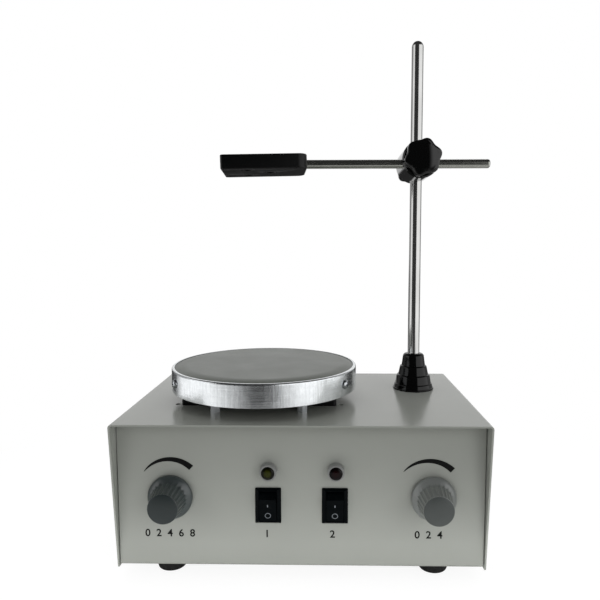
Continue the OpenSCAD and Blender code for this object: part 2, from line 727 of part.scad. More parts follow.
module motor_shaft() color([0.82, 0.82, 0.83]) placed()
    translate([plate_x, plate_y, motor_top - motor_l + 6])
        cylinder(r = motor_shaft_r, h = holder_z + holder_h - 1.5 - (motor_top - motor_l + 6));

module magnet_holder() color([0.82, 0.8, 0.72]) placed() translate([plate_x, plate_y, 0]) difference() {
    union() {
        translate([0, 0, holder_z]) cylinder(r = holder_r, h = holder_h);
        translate([0, 0, under_z - 3]) cylinder(r = 6, h = holder_z - under_z + 3 + eps);
    }
    translate([0, 0, under_z - 4]) cylinder(r = motor_shaft_r, h = holder_z + holder_h - 1.5 - under_z + 4);
    for (s = [-1, 1]) translate([s * magnet_arm, 0, holder_z + holder_h - magnet_h])
        cylinder(r = magnet_r + run, h = magnet_h + 1);
}

module drive_magnets() color([0.35, 0.35, 0.37]) placed() for (s = [-1, 1])
    translate([plate_x + s * magnet_arm, plate_y, holder_z + holder_h - magnet_h])
        cylinder(r = magnet_r, h = magnet_h);

// CONTROLS

// Potentiometer with its bushing through the panel and three solder lugs
module dial_pots() color([0.55, 0.55, 0.56]) placed() for (x = dial_xs) translate([x, sheet_t, dial_z])
    difference() {
        union() {
            to_back() cylinder(r = pot_r, h = pot_d);
            to_front() cylinder(r = bush_r, h = bush_l + sheet_t);
            for (i = [-1, 0, 1]) translate([i * 5 - 1.5, 2, -pot_r - 5]) cube([3, 1, 8]);
        }
        translate([0, pot_d - 3, 0]) to_front() cylinder(r = dial_shaft_r + run, h = pot_d + bush_l + 4);
    }

module pot_nuts() color([0.8, 0.8, 0.78]) placed() for (x = dial_xs) translate([x, 0, dial_z])
    to_front() hex_nut(pot_nut_w, pot_nut_h, bush_r + fit / 2);

module dial_shaft(x) color([0.8, 0.8, 0.8]) placed() translate([x, 0, dial_z])
    translate([0, sheet_t + pot_d - 4, 0]) to_front()
        cylinder(r = dial_shaft_r, h = sheet_t + pot_d - 4 + shaft_l);

module temperature_shaft() dial_shaft(dial_xs[0]);
module speed_shaft() dial_shaft(dial_xs[1]);

// Knob with a conical skirt, a fluted barrel and a plain cap; z runs from the panel to the cap
module dial_knob(x, shade) color(shade) placed() translate([x, 0, dial_z]) to_front() difference() {
    top = knob_len;
    turned(concat([[0, knob_gap], [knob_skirt_r - 0.4, knob_gap], [knob_skirt_r, knob_gap + 0.4],
        [knob_skirt_r, 2.4], [knob_skirt_r - 0.7, 3], [knob_barrel_r + 0.6, 4.6],
        [knob_barrel_r, 5.2], [knob_cap_r + 0.15, top - 1]],
        arc([knob_cap_r - 0.6, top - 0.6], 0.6, 0, 90, 4), [[0, top]]));
    for (i = [0:flutes_n - 1]) rotate([0, 0, i * 360 / flutes_n])
        translate([knob_barrel_r + 0.35, 0, 5.4])
            rotate([0, -atan((knob_barrel_r - knob_cap_r) / (top - 6.2)), 0])
                cylinder(r = 0.75, h = top - 7, $fn = 16);
    translate([0, 0, knob_gap - 1]) cylinder(r = pot_nut_w / 2 / cos(30) + 1.5, h = bush_l + 1.4);
    cylinder(r = dial_shaft_r, h = shaft_l);
}

module temperature_knob() dial_knob(dial_xs[0], [0.25, 0.27, 0.27]);
module speed_knob() dial_knob(dial_xs[1], [0.36, 0.38, 0.38]);

// Section of a switch's bevelled frame: from the panel its sides slope up to a lip of the given half width
module frame_section(w, lip) polygon([[-w / 2, 0], [w / 2, 0], [w / 2, frame_edge_t],
    [lip, frame_t], [-lip, frame_t], [-w / 2, frame_edge_t]]);

module switch_frame() intersection() {
    linear_extrude(frame_t) round_rect(switch_w, switch_h, 0.6);
    translate([0, switch_h / 2, 0]) rotate([90, 0, 0]) linear_extrude(switch_h)
        frame_section(switch_w, rocker_w / 2 + rocker_gap + frame_lip);
    translate([-switch_w / 2, 0, 0]) rotate([90, 0, 90]) linear_extrude(switch_w)
        frame_section(switch_h, rocker_half + rocker_gap + frame_lip);
}

// Switch case with its frame on the panel, an open well for the rocker and two axle holes
module switch_cases() color([0.05, 0.05, 0.06]) placed() for (x = switch_xs)
    translate([x, 0, switch_z]) difference() {
        union() {
            to_front() switch_frame();
            translate([-switch_body_w / 2, -eps, -switch_body_h / 2])
                cube([switch_body_w, switch_body_d + eps, switch_body_h]);
        }
        translate([-rocker_w / 2 - rocker_gap, -frame_t - 1, -rocker_half - rocker_gap])
            cube([rocker_w + 2 * rocker_gap, frame_t + 11, 2 * (rocker_half + rocker_gap)]);
        translate([-switch_body_w, rocker_pivot, 0]) to_right()
            cylinder(r = axle_r + run, h = 2 * switch_body_w);
    }

module switch_terminals() color([0.8, 0.7, 0.4]) placed() for (x = switch_xs, dz = [-6, 0])
    translate([x - 2.4, switch_body_d, switch_z + dz]) cube([4.8, 8, 0.8]);

// A point of the rocker's upright end, turned by the tilt
function tilted(y, z) = let (c = cos(rocker_tilt), s = sin(rocker_tilt)) [-y * c - z * s, z * c - y * s];

// Rocker with a hollowed face and upright ends, turned so that its lower end is pressed in
module switch_rocker(x) color([0.06, 0.06, 0.07]) placed() translate([x, rocker_pivot, switch_z])
    rotate([rocker_tilt, 0, 0]) {
        front = tilted(rocker_front, rocker_half);
        back = tilted(-rocker_skirt, rocker_half);
        translate([-rocker_w / 2, 0, 0]) rotate([90, 0, 90]) linear_extrude(rocker_w) {
            polygon([front, [front[0] + 0.4, 0], [front[0], -front[1]],
                [back[0], -back[1]], [2, -3.2], [2, 3.2], back]);
            circle(3);
        }
        translate([-switch_body_w / 2 + 0.1, 0, 0]) to_right() cylinder(r = axle_r, h = switch_body_w - 0.2);
    }

module heat_rocker() switch_rocker(switch_xs[0]);
module power_rocker() switch_rocker(switch_xs[1]);

// Lamp collars with a barrel through the panel
module lamp_collars() color([0.45, 0.46, 0.46]) placed() for (x = lamp_xs) translate([x, 0, lamp_z])
    to_front() difference() {
        union() {
            turned([[0, 0], [lamp_r, 0], [lamp_r, lamp_len - 1.6], [lamp_r - 0.5, lamp_len - 1], [0, lamp_len - 1]]);
            translate([0, 0, -8]) cylinder(r = lamp_barrel_r, h = 8 + eps);
        }
        translate([0, 0, -9]) cylinder(r = lens_r - 0.8, h = 8);
        translate([0, 0, -1.01]) cylinder(r = lens_r + 0.05, h = lamp_len + 1);
    }

module lamp_lens(x, shade) color(shade) placed() translate([x, 0, lamp_z]) to_front()
    turned(concat([[0, -1], [lens_r, -1]],
        [for (a = [0:15:90]) [lens_r * cos(a), lamp_len - 1 + sin(a)]]));

module heat_lamp_lens() lamp_lens(lamp_xs[0], [0.3, 0.32, 0.08]);
module power_lamp_lens() lamp_lens(lamp_xs[1], [0.28, 0.03, 0.04]);

// ELECTRONICS

module control_board() color([0.1, 0.35, 0.2]) placed() difference() {
    translate([board_x0, board_y0, board_z]) cube([board_w, board_d, board_t]);
    for (p = board_holes) translate([p[0], p[1], board_z - 1]) cylinder(r = m3_r + fit, h = board_t + 2);
}

// Nylon posts that snap into the floor and the board
module board_posts() color([0.92, 0.92, 0.9]) placed() for (p = board_holes) translate([p[0], p[1], 0]) {
    translate([0, 0, deck_z]) cylinder(r = 3, h = board_lift);
    translate([0, 0, floor_z]) cylinder(r = m3_r, h = board_lift + sheet_t + board_t + 1, $fn = 32);
    translate([0, 0, board_top]) cylinder(r1 = 2, r2 = 1.3, h = 1.8, $fn = 32);
}

// Finned heat sinks behind the two power triacs
module heat_sinks() color([0.7, 0.71, 0.72]) placed() for (x = sink_xs) translate([x, sink_y, board_top])
    linear_extrude(sink_h) {
        translate([-sink_w / 2, 0]) square([sink_w, sink_base_t]);
        for (i = [-3:3]) translate([i * fin_pitch - fin_t / 2, sink_base_t - eps]) square([fin_t, fin_l]);
    }

// Triacs whose tabs lie against the heat sinks
module triacs() color([0.12, 0.12, 0.12]) placed() for (x = sink_xs) translate([x, sink_y, board_top]) {
    translate([-triac_w / 2, -triac_d, triac_leg_l]) cube([triac_w, triac_d, triac_h]);
    translate([-triac_w / 2, -triac_tab_t, triac_leg_l + triac_h - 0.1]) cube([triac_w, triac_tab_t, triac_tab_h]);
    for (i = [-1, 0, 1]) translate([(i * triac_w - 2 * triac_leg_w) / 4, -triac_d * 0.6, 0])
        cube([triac_leg_w, 0.6, triac_leg_l + 0.1]);
}

module capacitors() color([0.75, 0.2, 0.15]) placed() for (i = [0:2])
    translate([board_x0 + 12 + 2 * i * capacitor_w, board_y0 + 14, board_top])
        cube([capacitor_w, capacitor_d, capacitor_h]);

// Row of screw terminals whose wires enter from the front
module terminal_row(ways) difference() {
    cube([ways * way_pitch + 1, block_row_d, block_row_h]);
    for (i = [0:ways - 1]) translate([3 + i * way_pitch, block_row_d - 4, block_row_h - 4.5])
        cylinder(r = way_screw_r, h = block_row_h, $fn = 24);
    for (i = [0:ways - 1]) translate([3 + i * way_pitch - way_w / 2, -1, way_z - board_top - way_h / 2])
        cube([way_w, 6, way_h]);
}

module board_connectors() color([0.15, 0.5, 0.35]) placed() {
    translate([front_block_x, front_block_y, board_top]) terminal_row(6);
    translate([rear_block_x + 2 * way_pitch + 1, rear_block_y, board_top]) rotate([0, 0, 180])
        terminal_row(2);
}

// WIRING

// One wire along a path whose legs meet at right angles, with round bends
module wire(path, r, bend = 2) {
    n = len(path) - 1;
    for (i = [0:n - 1]) {
        d = path[i + 1] - path[i];
        u = d / norm(d);
        start = i == 0 ? 0 : bend;
        stop = i == n - 1 ? 0 : bend;
        translate(path[i] + u * start) rotate([0, acos(u[2]), atan2(u[1], u[0])])
            cylinder(r = r, h = norm(d) - start - stop, $fn = 24);
    }
    if (n > 1) for (i = [1:n - 1]) {
        a = (path[i] - path[i - 1]) / norm(path[i] - path[i - 1]);
        b = (path[i + 1] - path[i]) / norm(path[i + 1] - path[i]);
        m = cross(a, b);
        c = path[i] - a * bend + b * bend;
        multmatrix([[-b[0], a[0], m[0], c[0]], [-b[1], a[1], m[1], c[1]], [-b[2], a[2], m[2], c[2]]])
            rotate_extrude(angle = 90, $fn = 48) translate([bend, 0]) circle(r, $fn = 24);
    }
}

// Wire from a point to one way of the front terminal row, by a lane in front of the board
module to_front_row(from, drop_z, lane_x, lane_y, way, r) {
    x = front_block_x + 3 + way * way_pitch;
    y = front_block_y + 4.8;
    wire([from, [from[0], from[1], drop_z], [lane_x, from[1], drop_z], [lane_x, lane_y, drop_z],
        [x, lane_y, drop_z], [x, lane_y, way_z], [x, y, way_z]], r);
}

module motor_and_heater_wires() {
    z0 = motor_top - motor_l;
    near = board_y0 - 4.2;
    mid = near - 3;
    left = plate_x + 26;
    to_front_row([plate_x + 12, plate_y - 4, z0], way_z + 4.5, left, mid, 0, 0.8);
    to_front_row([plate_x + 12, plate_y + 4, z0], way_z + 4.5, left + 3, near, 1, 0.8);
    to_front_row([lead_x - 2, lead_y - 1.8, heater_z], way_z + 8.5, left, near, 2, 1);
    to_front_row([lead_x + 2, lead_y - 1.8, heater_z], way_z + 12, left + 3, mid, 3, 1);
    for (s = [0, 1]) to_front_row([lead_x - 0.8 + 1.6 * s, lead_y + sensor_dy, pad_z + 1],
        way_z + 14 + 1.6 * s, left + 3 * s, mid - 3, 4 + s, 0.5);
}

module mains_wires() {
    pin_y = rear_y - inlet_d - 6;
    fuse_end = rear_y - fuse_body_l - 3.5;
    px = switch_xs[1];
    high = switch_z + 8;
    rear_in = rear_block_y - 4.8;
    wire([[inlet_x - 7, pin_y, inlet_z - 1], [inlet_x - 7, fuse_end, inlet_z - 1],
        [fuse_x + 2, fuse_end, inlet_z - 1]], 0.9);
    wire([[fuse_x + fuse_r + 4.5, rear_y - 20, inlet_z], [fuse_x + 15, rear_y - 20, inlet_z],
        [fuse_x + 15, rear_y - 20, high], [fuse_x + 15, 31, high], [px, 31, high],
        [px, 31, switch_z + 0.4], [px, switch_body_d + 8, switch_z + 0.4]], 0.9);
    wire([[inlet_x + 7, pin_y, inlet_z - 2], [inlet_x + 7, pin_y - 4, inlet_z - 2],
        [inlet_x + 7, pin_y - 4, way_z], [rear_block_x + 3, pin_y - 4, way_z],
        [rear_block_x + 3, rear_in, way_z]], 0.9);
    wire([[px, switch_body_d + 8, switch_z - 5.6], [px, board_y0 - 1.6, switch_z - 5.6],
        [px, board_y0 - 1.6, deck_z + 3],
        [px, pin_y - 1, deck_z + 3], [rear_block_x + 8, pin_y - 1, deck_z + 3],
        [rear_block_x + 8, pin_y - 1, way_z], [rear_block_x + 8, rear_in, way_z]], 0.9);
    wire([[inlet_x, pin_y, inlet_z + 2], [inlet_x, pin_y - 3.4, inlet_z + 2],
        [inlet_x, pin_y - 3.4, deck_z + 4], [inlet_x, earth_tab_y + 0.8, deck_z + 4]], 0.9);
}

module panel_wires() {
    blade_y = switch_body_d + 5;
    for (i = [0, 1]) {
        x = switch_xs[i];
        wire([[x - 1, 8, lamp_z], [x - 1, blade_y, lamp_z], [x - 1, blade_y, switch_z + 0.8]], 0.6, 1.5);
        wire([[x + 1.4, 8, lamp_z], [x + 1.4, blade_y, lamp_z], [x + 4.8, blade_y, lamp_z],
            [x + 4.8, blade_y, switch_z - 5.6], [x + 2.4, blade_y, switch_z - 5.6]], 0.6, 1.5);
    }
    wire([[switch_xs[0] + 2.4, switch_body_d + 7.2, switch_z - 5.6],
        [switch_xs[1] - 2.4, switch_body_d + 7.2, switch_z - 5.6]], 0.6);
    lane_x = plate_x + motor_r + 4;
    lane_y = board_y0 - 3;
    end_y = board_y0 + board_d / 2 - 1;
    wire([[switch_xs[0], switch_body_d + 8, switch_z + 0.4], [switch_xs[0], lane_y, switch_z + 0.4],
        [lane_x, lane_y, switch_z + 0.4], [lane_x, end_y, switch_z + 0.4],
        [board_x0 + 6, end_y, switch_z + 0.4], [board_x0 + 6, end_y, board_top]], 0.8);
    for (i = [-1, 0, 1]) {
        wire([[dial_xs[1] + i * 5, 3.5, dial_z - pot_r - 5], [dial_xs[1] + i * 5, 3.5, dial_z - 23.5],
            [dial_xs[1] + i * 5, board_y0 + 2.5, dial_z - 23.5], [dial_xs[1] + i * 5, board_y0 + 2.5, board_top]],
            0.6, 1.5);
        wire([[dial_xs[0] + i * 5, 3.5, dial_z - pot_r - 5], [dial_xs[0] + i * 5, 3.5, dial_z - 23.5],
            [dial_xs[0] + i * 5, 15 - i * 2.5, dial_z - 23.5],
            [board_x0 + 18 + i * 4, 15 - i * 2.5, dial_z - 23.5],
            [board_x0 + 18 + i * 4, board_y0 + 2.5, dial_z - 23.5],
            [board_x0 + 18 + i * 4, board_y0 + 2.5, board_top]], 0.6, 1.5);
    }
}

module power_wiring() color([0.6, 0.12, 0.1]) placed() {
    motor_and_heater_wires();
    mains_wires();
}

module panel_wiring() color([0.15, 0.2, 0.55]) placed() panel_wires();

// REAR FITTINGS

// Outline of the socket or of its body, whose two upper corners are cut off
module inlet_outline(w, h, cut) polygon([[-w / 2, -h / 2], [w / 2, -h / 2], [w / 2, h / 2 - cut],
    [w / 2 - cut, h / 2], [-w / 2 + cut, h / 2], [-w / 2, h / 2 - cut]]);

module mains_inlet() color([0.06, 0.06, 0.06]) placed() translate([inlet_x, rear_y, inlet_z]) rotate([90, 0, 180])
    difference() {
        union() {
            linear_extrude(inlet_flange_t) round_rect(inlet_flange_w, inlet_flange_h, 5);
            translate([0, 0, -inlet_d]) linear_extrude(inlet_d + eps)
                square([inlet_body_w, inlet_body_h], center = true);
        }
        translate([0, 0, inlet_flange_t - socket_d]) linear_extrude(socket_d + 1)
            inlet_outline(socket_w, socket_h, 5);
        for (s = [-1, 1]) translate([s * inlet_screw_dx, 0, -1]) cylinder(r = m3_r + fit, h = inlet_flange_t + 2);
        for (p = [[-7, -2], [7, -2], [0, 2]]) translate([p[0] - 1, p[1] - 2, -inlet_d - 1])
            cube([2, 4, inlet_d]);
    }

// Two live blades and the earth blade between them, set a little higher
module inlet_pins() color([0.8, 0.78, 0.7]) placed() translate([inlet_x, rear_y, inlet_z]) rotate([90, 0, 180])
    for (p = [[-7, -2], [7, -2], [0, 2]]) translate([p[0] - 1, p[1] - 2, -inlet_d - 6])
        cube([2, 4, inlet_d + 5]);

module inlet_screws() color([0.75, 0.75, 0.76]) placed() for (s = [-1, 1])
    translate([inlet_x + s * inlet_screw_dx, rear_y + inlet_flange_t, inlet_z]) to_back() m3_screw(8);

module fuse_holder() color([0.07, 0.07, 0.07]) placed() translate([fuse_x, rear_y, inlet_z]) to_back() difference() {
    union() {
        cylinder(r = fuse_flange_r, h = fuse_flange_t);
        translate([0, 0, -fuse_body_l]) cylinder(r = fuse_r, h = fuse_body_l + eps);
        translate([0, 0, -sheet_t - 4]) cylinder(r = 9, h = 4, $fn = 6);
        translate([-2, -0.5, -fuse_body_l - 7]) cube([4, 1, 7 + eps]);
        translate([fuse_r - 0.5, -2, -20.5]) cube([5, 4, 1]);
    }
    translate([0, 0, -fuse_body_l + 3]) cylinder(r = fuse_stem_r + run, h = fuse_body_l + fuse_flange_t);
}

// The cartridge sits in the cap's stem and comes out with it
module glass_fuse() color([0.8, 0.85, 0.85]) placed()
    translate([fuse_x, rear_y - fuse_body_l + 3.5, inlet_z]) to_back() cylinder(r = cartridge_r, h = cartridge_l);

module fuse_cap() color([0.09, 0.09, 0.09]) placed() translate([fuse_x, rear_y, inlet_z]) to_back() {
    grip_r = fuse_flange_r - 1.6;
    z0 = fuse_flange_t + 0.1;
    top = fuse_flange_t + fuse_grip_l;
    difference() {
        turned(concat([[0, z0], [grip_r, z0]], arc([grip_r - 1, top - 1], 1, 0, 90), [[0, top]]));
        for (i = [0:15]) rotate([0, 0, i * 22.5]) translate([grip_r + 0.25, 0, z0 + 1])
            cylinder(r = 0.7, h = top, $fn = 16);
        translate([-0.6, -grip_r, top - 1.2]) cube([1.2, 2 * grip_r, 2]);
    }
    stem_z = -fuse_body_l + 3.5 + cartridge_l - 4;
    difference() {
        translate([0, 0, stem_z]) cylinder(r = fuse_stem_r, h = z0 - stem_z + eps);
        translate([0, 0, stem_z - 1]) cylinder(r = cartridge_r + run, h = 5);
    }
}

// SUPPORT ROD AND CLAMP

module support_rod() color([0.78, 0.79, 0.8]) placed() translate([rod_x, rod_y, 0])
    turned(concat([[0, under_z - rod_tail], [rod_r - 0.5, under_z - rod_tail], [rod_r, under_z - rod_tail + 0.5]],
        arc([0, rod_top - rod_r], rod_r, 0, 90, 12)));

module rod_nuts() color([0.72, 0.72, 0.73]) placed() translate([rod_x, rod_y, 0]) {
    translate([0, 0, top_z]) hex_nut(rod_nut_w, rod_nut_h, rod_r + run);
    translate([0, 0, under_z - 1.2]) tube(rod_nut_w / 2 + 2, rod_r + run, 1.2);
    translate([0, 0, under_z - 1.2 - rod_nut_h]) hex_nut(rod_nut_w, rod_nut_h, rod_r + run);
}

// Each tier of the boot: radius at its foot, radius at its shoulder, and share of the height where it ends
function tier(r0, r1, z0, z1, f = 1.2) =
    concat([[r0, z0], [r1, z1 - f]], arc([r1 - f, z1 - f], f, 15, 90, 4));

module rod_boot() color([0.04, 0.04, 0.04]) placed() translate([rod_x, rod_y, top_z]) {
    h = boot_h;
    b = boot_r;
    nut_room = rod_nut_w / 2 / cos(30) + 0.4;
    turned(concat([[nut_room, 0]],
        [[b, 0], [b, 1.2]], tier(b - 0.3, b - 0.9, 1.3, h * 0.17, 1),
        tier(b - 1.6, b - 2.5, h * 0.17, h * 0.41),
        tier(b - 3.7, b - 4.7, h * 0.41, h * 0.66),
        tier(b - 5.9, b - 6.7, h * 0.66, h, 1.8),
        [[rod_r + run, h], [rod_r + run, rod_nut_h + 0.5], [nut_room, rod_nut_h + 0.5]]));
}

// Round body bored across for the rod and the arm, and along its axis for both screws
module clamp_body() color([0.05, 0.05, 0.05]) placed() difference() {
    len = clamp_end - clamp_front;
    translate([rod_x, clamp_front, clamp_z]) to_back()
        turned([[0, 0], [clamp_r - 1, 0], [clamp_r, 1], [clamp_r, len - 1], [clamp_r - 1, len], [0, len]]);
    translate([rod_x, rod_y, clamp_z - clamp_r - 1]) cylinder(r = rod_r + run, h = 2 * clamp_r + 2);
    translate([rod_x - clamp_r - 1, arm_y, arm_z]) to_right() cylinder(r = arm_r + run, h = 2 * clamp_r + 2);
    translate([rod_x, clamp_front - 1, clamp_z]) to_back()
        cylinder(r = clamp_screw_r + run, h = arm_y - clamp_front + 1);
    translate([rod_x, rod_y, clamp_z]) to_back()
        cylinder(r = clamp_screw_r + run, h = clamp_end - rod_y + 1);
}

// Six-lobed outline
function star_outline(r) = [for (i = [0:71]) let (a = i * 5)
    (r - lobe_h + lobe_h * cos(6 * (a - lobe_turn))) * [cos(a), sin(a)]];

module star_knob() difference() {
    union() {
        translate([0, 0, 0.8]) linear_extrude(star_t - 1.6) polygon(star_outline(star_r));
        linear_extrude(star_t) polygon(star_outline(star_r - 0.8));
    }
    translate([0, 0, -eps]) cylinder(r = clamp_screw_r + run, h = star_t - 2);
}

// The front knob's face looks to the front, the rear knob's to the back
module front_clamp_knob() color([0.03, 0.03, 0.03]) placed()
    translate([rod_x, star_front + star_t, clamp_z]) to_front() star_knob();

module rear_clamp_knob() color([0.03, 0.03, 0.03]) placed()
    translate([rod_x, star_back, clamp_z]) to_back() star_knob();

module front_clamp_screw() color([0.7, 0.7, 0.72]) placed()
    translate([rod_x, star_front + 2.1, clamp_z]) to_back()
        cylinder(r = clamp_screw_r, h = arm_y - arm_r - tip_gap - star_front - 2.1);

module rear_clamp_screw() color([0.7, 0.7, 0.72]) placed()
    translate([rod_x, star_back + star_t - 2.1, clamp_z]) to_front()
        cylinder(r = clamp_screw_r, h = star_back + star_t - 2.1 - (rod_y + rod_r + tip_gap));

// ARM AND HOLDER

module arm_rod() color([0.76, 0.77, 0.78]) placed() translate([arm_start, arm_y, arm_z]) to_right() {
    l = arm_end - arm_start;
    turned([[0, 0], [arm_r, 0], [arm_r, l - 0.6], [arm_r - 0.6, l], [0, l]]);
}

// Outline of the holder, from the middle of its right end: a round eye and two holes with slits to the left
module holder_outline() difference() {
    union() {
        translate([-grip_l, -grip_d / 2 + 2]) square([10, grip_d - 4]);
        translate([2 - grip_l, -grip_d / 2]) square([grip_l - end_r - 2, grip_d]);
        translate([10 - grip_l, end_r - grip_d / 2]) square([grip_l - 10, grip_d - 2 * end_r]);
        for (s = [-1, 1]) translate([2 - grip_l, s * (grip_d / 2 - 2)]) circle(2);
        for (s = [-1, 1]) translate([-end_r, s * (grip_d / 2 - end_r)]) circle(end_r);
    }
    translate([eye_x, 0]) circle(eye_r);
    for (s = [-1, 1]) {
        translate([jaw_x, s * jaw_dy]) circle(jaw_r);
        translate([-grip_l - 1, s * jaw_dy - slit_w / 2]) square([jaw_x + grip_l + 1, slit_w]);
    }
}

// Holder plate, which sits a little askew on the end of the arm
module holder_plate() color([0.05, 0.05, 0.05]) placed() difference() {
    translate([plate_end, arm_y, arm_z - holder_seat]) rotate([0, -holder_droop, holder_yaw])
        translate([0, 0, -grip_t / 2]) linear_extrude(grip_t) holder_outline();
    translate([arm_start - 0.2, arm_y, arm_z]) to_right() cylinder(r = arm_r + run, h = arm_sunk + 4);
}

chassis();
top_cover();
cover_screws();
rubber_feet();
foot_screws();
m3_nuts();
hot_plate();
plate_rim();
rim_screws();
heater_element();
mica_sheets();
insulation_pad();
temperature_sensor();
heat_shield();
plate_posts();
lead_grommet();
insulating_block();
drive_screws();
motor_bracket();
motor_case();
motor_shaft();
magnet_holder();
drive_magnets();
dial_pots();
pot_nuts();
temperature_shaft();
temperature_knob();
speed_shaft();
speed_knob();
switch_cases();
switch_terminals();
heat_rocker();
power_rocker();
lamp_collars();
heat_lamp_lens();
power_lamp_lens();
control_board();
board_posts();
heat_sinks();
triacs();
capacitors();
board_connectors();
power_wiring();
panel_wiring();
mains_inlet();
inlet_pins();
inlet_screws();
fuse_holder();
glass_fuse();
fuse_cap();
support_rod();
rod_nuts();
rod_boot();
clamp_body();
front_clamp_screw();
front_clamp_knob();
rear_clamp_screw();
rear_clamp_knob();
arm_rod();
holder_plate();
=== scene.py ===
import math

import bmesh
import bpy
from mathutils import Matrix, Vector


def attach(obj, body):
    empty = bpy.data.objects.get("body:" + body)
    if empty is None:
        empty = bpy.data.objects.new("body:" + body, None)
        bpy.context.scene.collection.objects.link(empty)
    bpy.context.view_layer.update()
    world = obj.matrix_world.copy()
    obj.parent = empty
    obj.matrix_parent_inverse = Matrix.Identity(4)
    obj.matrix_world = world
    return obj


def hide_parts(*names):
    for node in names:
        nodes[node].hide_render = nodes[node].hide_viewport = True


# Everything below is written in the drawing's millimetres: X from the housing's middle,
# Y from the front panel's face and Z from the bench. at() turns it into the row frame.
ORIGIN = Vector((5.95, 58.7, 0.0))
MM = 0.001
TURN = {
    "+Z": Matrix.Identity(3),
    "-Y": Matrix.Rotation(math.pi / 2, 3, "X"),
    "+Y": Matrix.Rotation(-math.pi / 2, 3, "X"),
    "+X": Matrix.Rotation(math.pi / 2, 3, "Y"),
}

# Places that the part's source has too, worked out from the top of the cover
TOP = 96.2
PLATE_X, PLATE_Y = -25.8, 54.3
RIM_TOP = TOP + 22.4
ROD_X, ROD_Y, ROD_R = 75.9, 79.5, 4.0
ROD_FOOT, ROD_END = TOP - 19.0, TOP + 236.0
CLAMP_Z = TOP + 155.3
ARM_Y, ARM_Z, ARM_R = 63.5, CLAMP_Z - 2.4, 2.9
STAR_FRONT_Y, STAR_REAR_Y = 55.5, 93.5

# Controls, on either side of their own middle
CONTROLS_X = 0.5
DIAL_XS, DIAL_Z = (CONTROLS_X - 75.9, CONTROLS_X + 75.9), TOP - 45.1
KNOB_LEN = 18.0
SWITCH_XS, SWITCH_Z = (CONTROLS_X - 19.3, CONTROLS_X + 19.3), TOP - 50.2
LAMP_XS, LAMP_Z = (CONTROLS_X - 19.0, CONTROLS_X + 19.8), TOP - 29.4
LENS_R = 3.8

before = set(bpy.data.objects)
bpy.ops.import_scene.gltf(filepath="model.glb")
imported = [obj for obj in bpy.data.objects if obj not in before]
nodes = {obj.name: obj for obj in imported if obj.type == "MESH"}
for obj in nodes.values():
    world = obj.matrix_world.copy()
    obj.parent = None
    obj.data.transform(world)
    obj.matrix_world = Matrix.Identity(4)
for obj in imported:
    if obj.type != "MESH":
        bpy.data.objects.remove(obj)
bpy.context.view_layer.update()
scene = bpy.context.scene


def at(x, y, z):
    return (Vector((x, y, z)) - ORIGIN) * MM


# Sums made of shader nodes


def feed(tree, value, socket):
    """Links a socket, or gives it a number or a colour."""
    if hasattr(value, "links"):
        tree.links.new(value, socket)
    elif isinstance(value, tuple):
        socket.default_value = (*value, 1)
    else:
        socket.default_value = value


def step(tree, value, a, b):
    """0 at a and 1 at b, smooth between."""
    n = tree.nodes.new("ShaderNodeMapRange")
    n.interpolation_type = "SMOOTHSTEP"
    n.inputs["From Min"].default_value, n.inputs["From Max"].default_value = a, b
    tree.links.new(value, n.inputs["Value"])
    return n.outputs["Result"]


def calc(tree, kind, *values):
    n = tree.nodes.new("ShaderNodeMath")
    n.operation = kind
    for k, v in enumerate(values):
        feed(tree, v, n.inputs[k])
    return n.outputs[0]


def product(tree, *values):
    out = values[0]
    for v in values[1:]:
        out = calc(tree, "MULTIPLY", out, v)
    return out


def total(tree, *values):
    out = values[0]
    for v in values[1:]:
        out = calc(tree, "ADD", out, v)
    return out


